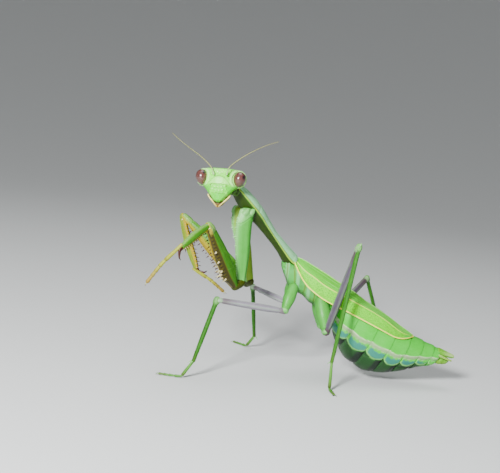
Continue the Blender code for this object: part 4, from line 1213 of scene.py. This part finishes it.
def raptor_tibia(side, hand, hinge, wrist, thigh):
    """The tibia, deepest at its middle, with two rows of spines under it that lengthen to the claw."""
    place = limb_place(hinge, wrist, thigh)
    turn = place[1]
    outer = outer_side(place, hand)
    shin = float(np.linalg.norm(wrist - hinge))
    stations = np.array((
        (-0.85, 0.38, -0.48, 0.28, -0.1), (0.1, 0.44, -0.50, 0.52, 0.0),
        (shin * 0.22, 0.48, -0.48, 0.76, 0.08), (shin * 0.50, 0.53, -0.56, 0.88, 0.12),
        (shin * 0.78, 0.48, -0.58, 0.70, 0.05), (shin + 0.35, 0.33, -0.38, 0.33, 0.0),
    ))

    def relief(y, a, x, z):
        return 0.08 * ridge(np.sin(a), -0.85, 0.10) + 0.05 * ridge(np.sin(a), 0.96, 0.08)

    def marks(y, a, x, z):
        inner = ramp(-np.cos(a) * outer, 0.2, 0.8)
        teeth = ridge((y * 2.2) % 1.0, 0.5, 0.2) * ridge(np.sin(a), -0.85, 0.12) * ramp(y, 1.2, 2.0)
        yellow = np.clip(0.80 * ramp(-np.sin(a), 0.15, 0.7) + 0.35 * inner, 0.0, 1.0)
        return 0.30 * ridge(np.sin(a), 0.9, 0.20), yellow, 0.8 * teeth

    tibia = loft(place, stations, 160, 80, relief, marks, blunt=(0.5, 0.4))
    make(f"raptor_tibia_{side}", tibia, RAPTOR, "raptor_green", f"fore_tibia_{side}")
    y = np.linspace(1.3, shin - 0.3, 11)
    z = curve(stations[:, 0], stations[:, 2], y) + 0.14
    rows = [
        spines(world(place, across * 0.26, y + shift, z), turn @ np.array((across * 0.25, 0.45, -1.0)),
               np.linspace(*lengths, 11) * MM, 0.11 * MM, dark=0.0)
        for across, shift, lengths in ((outer, 0.0, (0.35, 0.75)), (-outer, 0.25, (0.30, 0.70)))
    ]
    make(f"tibia_spines_{side}", together(*rows), SPINE, "claw_red")


def raptor_claw(side, wrist, ahead, grip, across):
    """The long claw at the tibia's end: a hook through four points, its radius falling from 0.34."""
    start = wrist + ahead * 0.15 + grip * 0.05
    hook = through((
        start, start + ahead * 0.65 + grip * 0.35, start + ahead * 0.95 + grip * 1.15,
        start + ahead * 0.80 + grip * 1.95,
    ), 60)
    t = np.linspace(0.0, 1.0, 60)
    width = 0.34 * (1.0 - t) ** 0.75 + 0.012
    paint = np.stack((0.10 * ridge(t, 0.55, 0.2), 0.4 * (1.0 - t), ramp(t, 0.75, 1.0)), axis=1)
    claw = tube((hook + BACK_EDGE) * MM, width * MM, 20, up=across, marks=paint, flat=0.8)
    make(f"raptor_claw_{side}", claw, CLAW, "claw_red", f"fore_claw_{side}")


def raptor_foot(side, ankle, toe):
    """The slim foot of five joints, sagging a quarter of a millimetre on its way to two claws."""
    way = toe - ankle
    sag = unit(np.cross(np.cross(way, (0.0, 0.0, 1.0)), way))
    middle = (ankle + toe) / 2.0 + sag * 0.25
    path = through((ankle - unit(way) * 0.35, ankle * 0.75 + middle * 0.25, middle, toe), 220)
    foot = jointed(path, (0.0, 0.44, 0.60, 0.73, 0.83, 1.001), 0.35, 0.25, up=sag)
    claws = hooks(toe, unit(toe - middle), -sag, 0.55)
    make(f"raptor_foot_{side}", together(foot, claws), FOOT, "foot_olive", f"fore_tarsus_{side}")


def foreleg(side, hand):
    """The spined foreleg: coxa, trochanter, femur, tibia with its claw, and the foot folded back."""
    base, elbow, hip, knee, wrist, toe = (np.array(joint) for joint in FORELEGS[side])
    forward = -prothorax_place()[1][:, 1]
    thigh = unit(knee - hip)
    fold = unit(wrist - knee - thigh * thigh.dot(wrist - knee))
    hinge = knee + fold * 0.40 - thigh * 0.1
    across, ahead, back = limb_place(hinge, wrist, thigh)[1].T
    raptor_coxa(side, hand, base, elbow, forward)
    raptor_trochanter(side, elbow, hip, forward)
    raptor_femur(side, hand, hip, knee, fold)
    raptor_tibia(side, hand, hinge, wrist, thigh)
    raptor_claw(side, wrist, ahead, -back, across)
    raptor_foot(side, wrist + ahead * 0.30 + back * 0.36, toe)


def walking_hip(name, base, trochanter, thick):
    """A walking leg's coxa: a rounded cone with a slanting seam and a groove before its end."""
    reach = float(np.linalg.norm(trochanter - base))

    def slant(y, a):
        return a - 2.3 - 0.12 * y

    def relief(y, a, x, z):
        groove = ridge(y, reach - 0.55, 0.16)
        return -0.15 * ridge(slant(y, a), 0.0, 0.12) - 0.10 * groove + 0.06 * ridge(a - 1.7, 0.0, 0.3)

    def marks(y, a, x, z):
        pale = 0.35 * ridge(a, 1.6, 0.6) + 0.4 * ridge(y, reach - 0.1, 0.3)
        dark = 0.75 * ridge(slant(y, a), 0.0, 0.09) + 0.3 * ramp(np.sin(a), -0.2, -0.9)
        return pale, 0.25 * ridge(slant(y, a), 0.0, 0.12), dark

    coxa = loft(limb_place(base, trochanter, (0.0, 1.0, 0.0)), (
        (-0.9, 0.95 * thick, -1.0 * thick, 1.0 * thick),
        (reach * 0.42, 1.24 * thick, -1.34 * thick, 1.30 * thick),
        (reach * 0.75, 0.98 * thick, -1.02 * thick, 1.0 * thick), (reach + 0.45, 0.64, -0.66, 0.66),
    ), 120, 80, relief, marks, blunt=(0.7, 0.5))
    make(f"hip_{name}", coxa, HIP, "coxa_green", f"coxa_{name}")


def walking_thigh(name, trochanter, knee, ankle, thick, finish):
    """A walking leg's femur: four ridges |cos 2a| to the power 6 along it, and lobes beside the knee."""
    up = unit(np.cross(np.cross(knee - trochanter, ankle - knee), knee - trochanter))
    length = float(np.linalg.norm(knee - trochanter))

    def relief(y, a, x, z):
        ridges = 0.055 * (np.abs(np.cos(2.0 * a)) ** 6) - 0.02
        ridges = ridges * ramp(y, 0.8, 2.0) * (1.0 - ramp(y, length - 1.2, length - 0.4))
        lobes = 0.10 * ridge(y, length - 0.2, 0.5) * ramp(np.abs(np.cos(a)), 0.4, 0.9)
        return ridges + lobes - 0.06 * ridge(y, 1.05, 0.16) - 0.05 * ridge(y, length - 0.95, 0.16)

    def marks(y, a, x, z):
        lines = np.abs(np.cos(2.0 * a)) ** 10
        between = np.abs(np.sin(2.0 * a)) ** 12
        knee_end = ramp(y, length - 1.1, length - 0.7)
        root = 1.0 - ramp(y, 0.7, 1.3)
        brown = ramp(y, length * 0.72, length - 1.2) * (1.0 - knee_end)
        pale = np.clip(0.25 * lines * (1.0 - root) + 0.55 * knee_end, 0.0, 1.0)
        return pale, 0.55 * brown + 0.6 * root, 0.3 * between * (1.0 - knee_end) * (1.0 - root)

    femur = loft(limb_place(trochanter, knee, -up), (
        (-0.5, 0.52, -0.54, 0.54), (0.9, 0.58 * thick, -0.62 * thick, 0.62 * thick),
        (length * 0.30, 0.66 * thick, -0.74 * thick, 0.74 * thick),
        (length * 0.75, 0.56 * thick, -0.62 * thick, 0.62 * thick),
        (length - 0.8, 0.50 * thick, -0.56 * thick, 0.56 * thick), (length + 0.35, 0.44, -0.52, 0.50),
    ), 220, 64, relief, marks, blunt=(0.5, 0.4))
    make(f"thigh_{name}", femur, finish, "thigh_mauve", f"femur_{name}")
    return up


def walking_shin(name, knee, ankle, up, spur):
    """A walking leg's tibia: slim, a knob under the knee, two spurs at its end and hairs in a spiral."""
    place = limb_place(knee, ankle, up)
    turn = place[1]
    shin = float(np.linalg.norm(ankle - knee))

    def relief(y, a, x, z):
        return 0.03 * np.abs(np.cos(2.0 * a + 0.78)) ** 6 - 0.05 * ridge(y, 0.85, 0.2)

    def marks(y, a, x, z):
        lines = ridge(np.cos(a), 0.0, 0.10) * ramp(np.sin(a), 0.2, 0.6)
        pale = np.clip(0.35 * lines + 0.55 * (1.0 - ramp(y, 0.2, 1.1)), 0.0, 1.0)
        return pale, 0.20 * ramp(y, shin * 0.8, shin), 0.35 * ramp(-np.sin(a), 0.3, 0.9)

    tibia = loft(place, (
        (-0.62, 0.44, -0.50, 0.50), (0.3, 0.50, -0.54, 0.58), (1.3, 0.35, -0.37, 0.37),
        (shin * 0.5, 0.35, -0.37, 0.37), (shin - 0.8, 0.28, -0.30, 0.30), (shin + 0.3, 0.27, -0.29, 0.29),
    ), 180, 48, relief, marks, blunt=(0.5, 0.35))
    bases = np.array(((0.20, shin + 0.1, -0.25), (-0.20, shin + 0.1, -0.25), (0.0, -0.35, 0.40)))
    ways = np.array(((0.35, 0.8, -0.6), (-0.35, 0.8, -0.6), (0.0, -0.75, 0.45))) @ turn.T
    spurs = spines(world(place, *bases.T), ways, np.array((0.75, 0.75, spur)) * MM,
                   np.array((0.10, 0.10, 0.22)) * MM, dark=0.8)
    k = np.arange(44)
    a = GOLDEN_ANGLE * k
    y = 1.2 + (shin - 2.2) * k / len(k)
    ways = np.stack((np.cos(a), np.full(len(k), 0.9), np.sin(a)), axis=1) @ turn.T
    hairs = spines(world(place, 0.31 * np.cos(a), y, 0.33 * np.sin(a)), ways, 0.24 * MM, 0.030 * MM,
                   rings=4, sides=5, dark=2.0)
    hairs[3][:, 0] *= 0.35
    make(f"shin_{name}", together(tibia, spurs, hairs), SHANK, "shin_green", f"tibia_{name}")


def walking_foot(name, ankle, heel, toe):
    """A walking leg's foot: one long joint to the heel, four flat ones on the floor, and two claws."""
    up = np.array((0.0, 0.0, 1.0))
    ahead = unit(toe - heel)
    down = unit(heel - ankle)
    side = (0.0, 1.0, 0.0) if abs(down[1]) < 0.7 else (1.0, 0.0, 0.0)
    way = through((
        ankle - down * 0.25, (ankle + heel) / 2.0, heel - ahead * 0.12 + up * 0.22,
    ), 120, crowd=0.4)
    instep = jointed(way, (0.0, 0.97, 1.001), 0.33, 0.23, up=side)
    make(f"long_toe_joint_{name}", instep, WALKING_FOOT, "foot_olive", f"instep_{name}")

    lift = 0.02 * up
    way = through((
        heel - ahead * 0.30 + up * 0.25, heel + ahead * 0.4 + up * 0.05 + lift, (heel + toe) / 2.0 + lift,
        toe - ahead * 0.55 + lift,
    ), 160)
    foot = jointed(way, (0.0, 0.34, 0.58, 0.78, 1.001), 0.33, 0.19, up=up, flat=0.72)
    foot[0][:, 2] = np.maximum(foot[0][:, 2], 0.0)
    claws = hooks(toe - ahead * 0.6 + up * 0.05, ahead, -up, 0.62)
    claws[0][:, 2] = np.maximum(claws[0][:, 2], 0.02 * MM)
    make(f"toes_{name}", together(foot, claws), WALKING_FOOT, "foot_olive", f"foot_{name}")


def walking_leg(name, thick, finish, spur):
    """A walking leg from hip to toes. Only the sizes of its hip and thigh go with thick."""
    base, trochanter, knee, ankle, heel, toe = (np.array(joint) for joint in WALKING_LEGS[name])
    walking_hip(name, base, trochanter, thick)
    up = walking_thigh(name, trochanter, knee, ankle, thick, finish)
    walking_shin(name, knee, ankle, up, spur)
    walking_foot(name, ankle, heel, toe)


# ---------------------------------------------------------------------------------------------------------
# The whole insect
# ---------------------------------------------------------------------------------------------------------

SIDES = (("left", 1.0), ("right", -1.0))

head()
mouthparts()
for SIDE, HAND in SIDES:
    eye(SIDE, HAND)
for SIDE, HAND in SIDES:
    feeler(SIDE, FEELERS[SIDE])
neck()
prothorax()
thorax()
for SIDE, HAND in SIDES:
    forewing(SIDE, HAND)
abdomen()
tail_plate()
tail_valves()
for SIDE, HAND in SIDES:
    cercus(SIDE, HAND)
for SIDE, HAND in SIDES:
    foreleg(SIDE, HAND)
    walking_leg(f"middle_{SIDE}", 0.8, PALE_THIGH, 0.2)
    walking_leg(f"hind_{SIDE}", 1.0, THIGH, 0.45)

# ---------------------------------------------------------------------------------------------------------
# Floor, light and camera
# ---------------------------------------------------------------------------------------------------------


def floor():
    """A pale studio sweep, flat to radius 0.3 and rising from there to 1.4 at radius 3, as a ramp does."""
    sides = 96
    r = np.concatenate(([0.02], np.linspace(0.1, 0.3, 4), np.linspace(0.35, 3.0, 60)))
    a = TAU * np.arange(sides) / sides
    z = 1.4 * ramp(r, 0.3, 3.0)
    places = np.stack((r[:, None] * np.cos(a), r[:, None] * np.sin(a), z[:, None] + 0.0 * a), axis=2)
    k = np.arange(len(r) - 1)[:, None] * sides
    here = np.arange(sides)[None, :]
    after = (here + 1) % sides
    faces = np.stack((k + here, k + sides + here, k + sides + after, k + after), axis=2).reshape(-1, 4)
    mesh = bpy.data.meshes.new("studio_floor")
    mesh.from_pydata(places.reshape(-1, 3).tolist(), [], [list(range(sides))] + faces.tolist())
    paint = bpy.data.materials.new("studio_floor")
    paint.use_nodes = True
    shader = paint.node_tree.nodes["Principled BSDF"]
    shader.inputs["Base Color"].default_value = (0.62, 0.64, 0.64, 1.0)
    shader.inputs["Roughness"].default_value = 0.9
    mesh.materials.append(paint)
    mesh.shade_smooth()
    ground = bpy.data.objects.new("studio_floor", mesh)
    bpy.context.scene.collection.objects.link(ground)


def stand(name, data, right, up, back, place):
    """An object for a lamp or camera at place, with these three axes; it looks against back."""
    holder = bpy.data.objects.new(name, data)
    bpy.context.scene.collection.objects.link(holder)
    matrix = np.eye(4)
    matrix[:3] = np.stack((right, up, back, place), axis=1)
    holder.matrix_world = Matrix(matrix.tolist())
    return holder


def lamp(name, place, target, power, size):
    """A round soft light at place, in metres, turned to target."""
    light = bpy.data.lights.new(name, "AREA")
    light.energy = power
    light.shape = "DISK"
    light.size = size
    back = unit(np.asarray(place, float) - np.asarray(target, float))
    right = unit(np.cross((0.0, 0.0, 1.0), back))
    stand(name, light, right, np.cross(back, right), back, place)


def camera():
    """The camera, on the insect's left and a little above, rolled by 6 degrees.

    It is 180 mm from the pronotum's back edge, which it sees a little right of and below the middle of its
    view: aside and below are the tangents of those two angles.
    """
    azimuth, rise, roll = math.radians(87.0), math.radians(7.0), math.radians(6.0)
    distance, aside, below = 0.180, 0.04385965, 0.01998051
    level_back = np.array((math.sin(azimuth), -math.cos(azimuth), 0.0))
    back = level_back * math.cos(rise) + (0.0, 0.0, math.sin(rise))
    level = unit(np.cross(-back, (0.0, 0.0, 1.0)))
    above = np.cross(level, -back)
    right = math.cos(roll) * level + math.sin(roll) * above
    up = -math.sin(roll) * level + math.cos(roll) * above
    place = BACK_EDGE * MM + distance * (back - aside * right + below * up)
    lens = bpy.data.cameras.new("view")
    lens.sensor_width = 36.0
    lens.lens = 73.872
    lens.clip_start = 0.005
    lens.clip_end = 20.0
    bpy.context.scene.camera = stand("view", lens, right, up, back, place)


def sky():
    """A weak pale blue light from all around."""
    studio = bpy.data.worlds.new("studio")
    studio.use_nodes = True
    shader = studio.node_tree.nodes["Background"]
    shader.inputs["Color"].default_value = (0.80, 0.83, 0.85, 1.0)
    shader.inputs["Strength"].default_value = 0.10
    bpy.context.scene.world = studio


floor()
camera()
lamp("key", (0.22, -0.10, 0.125), (0.006, -0.004, 0.020), power=1.9, size=0.05)
lamp("fill", (0.16, 0.22, 0.12), (0.0, 0.0, 0.02), power=0.06, size=0.22)
lamp("top", (-0.06, 0.02, 0.30), (0.0, 0.0, 0.02), power=0.30, size=0.20)
lamp("ceiling", (0.10, 0.05, 1.60), (0.0, 0.0, 0.0), power=8.0, size=2.2)
sky()
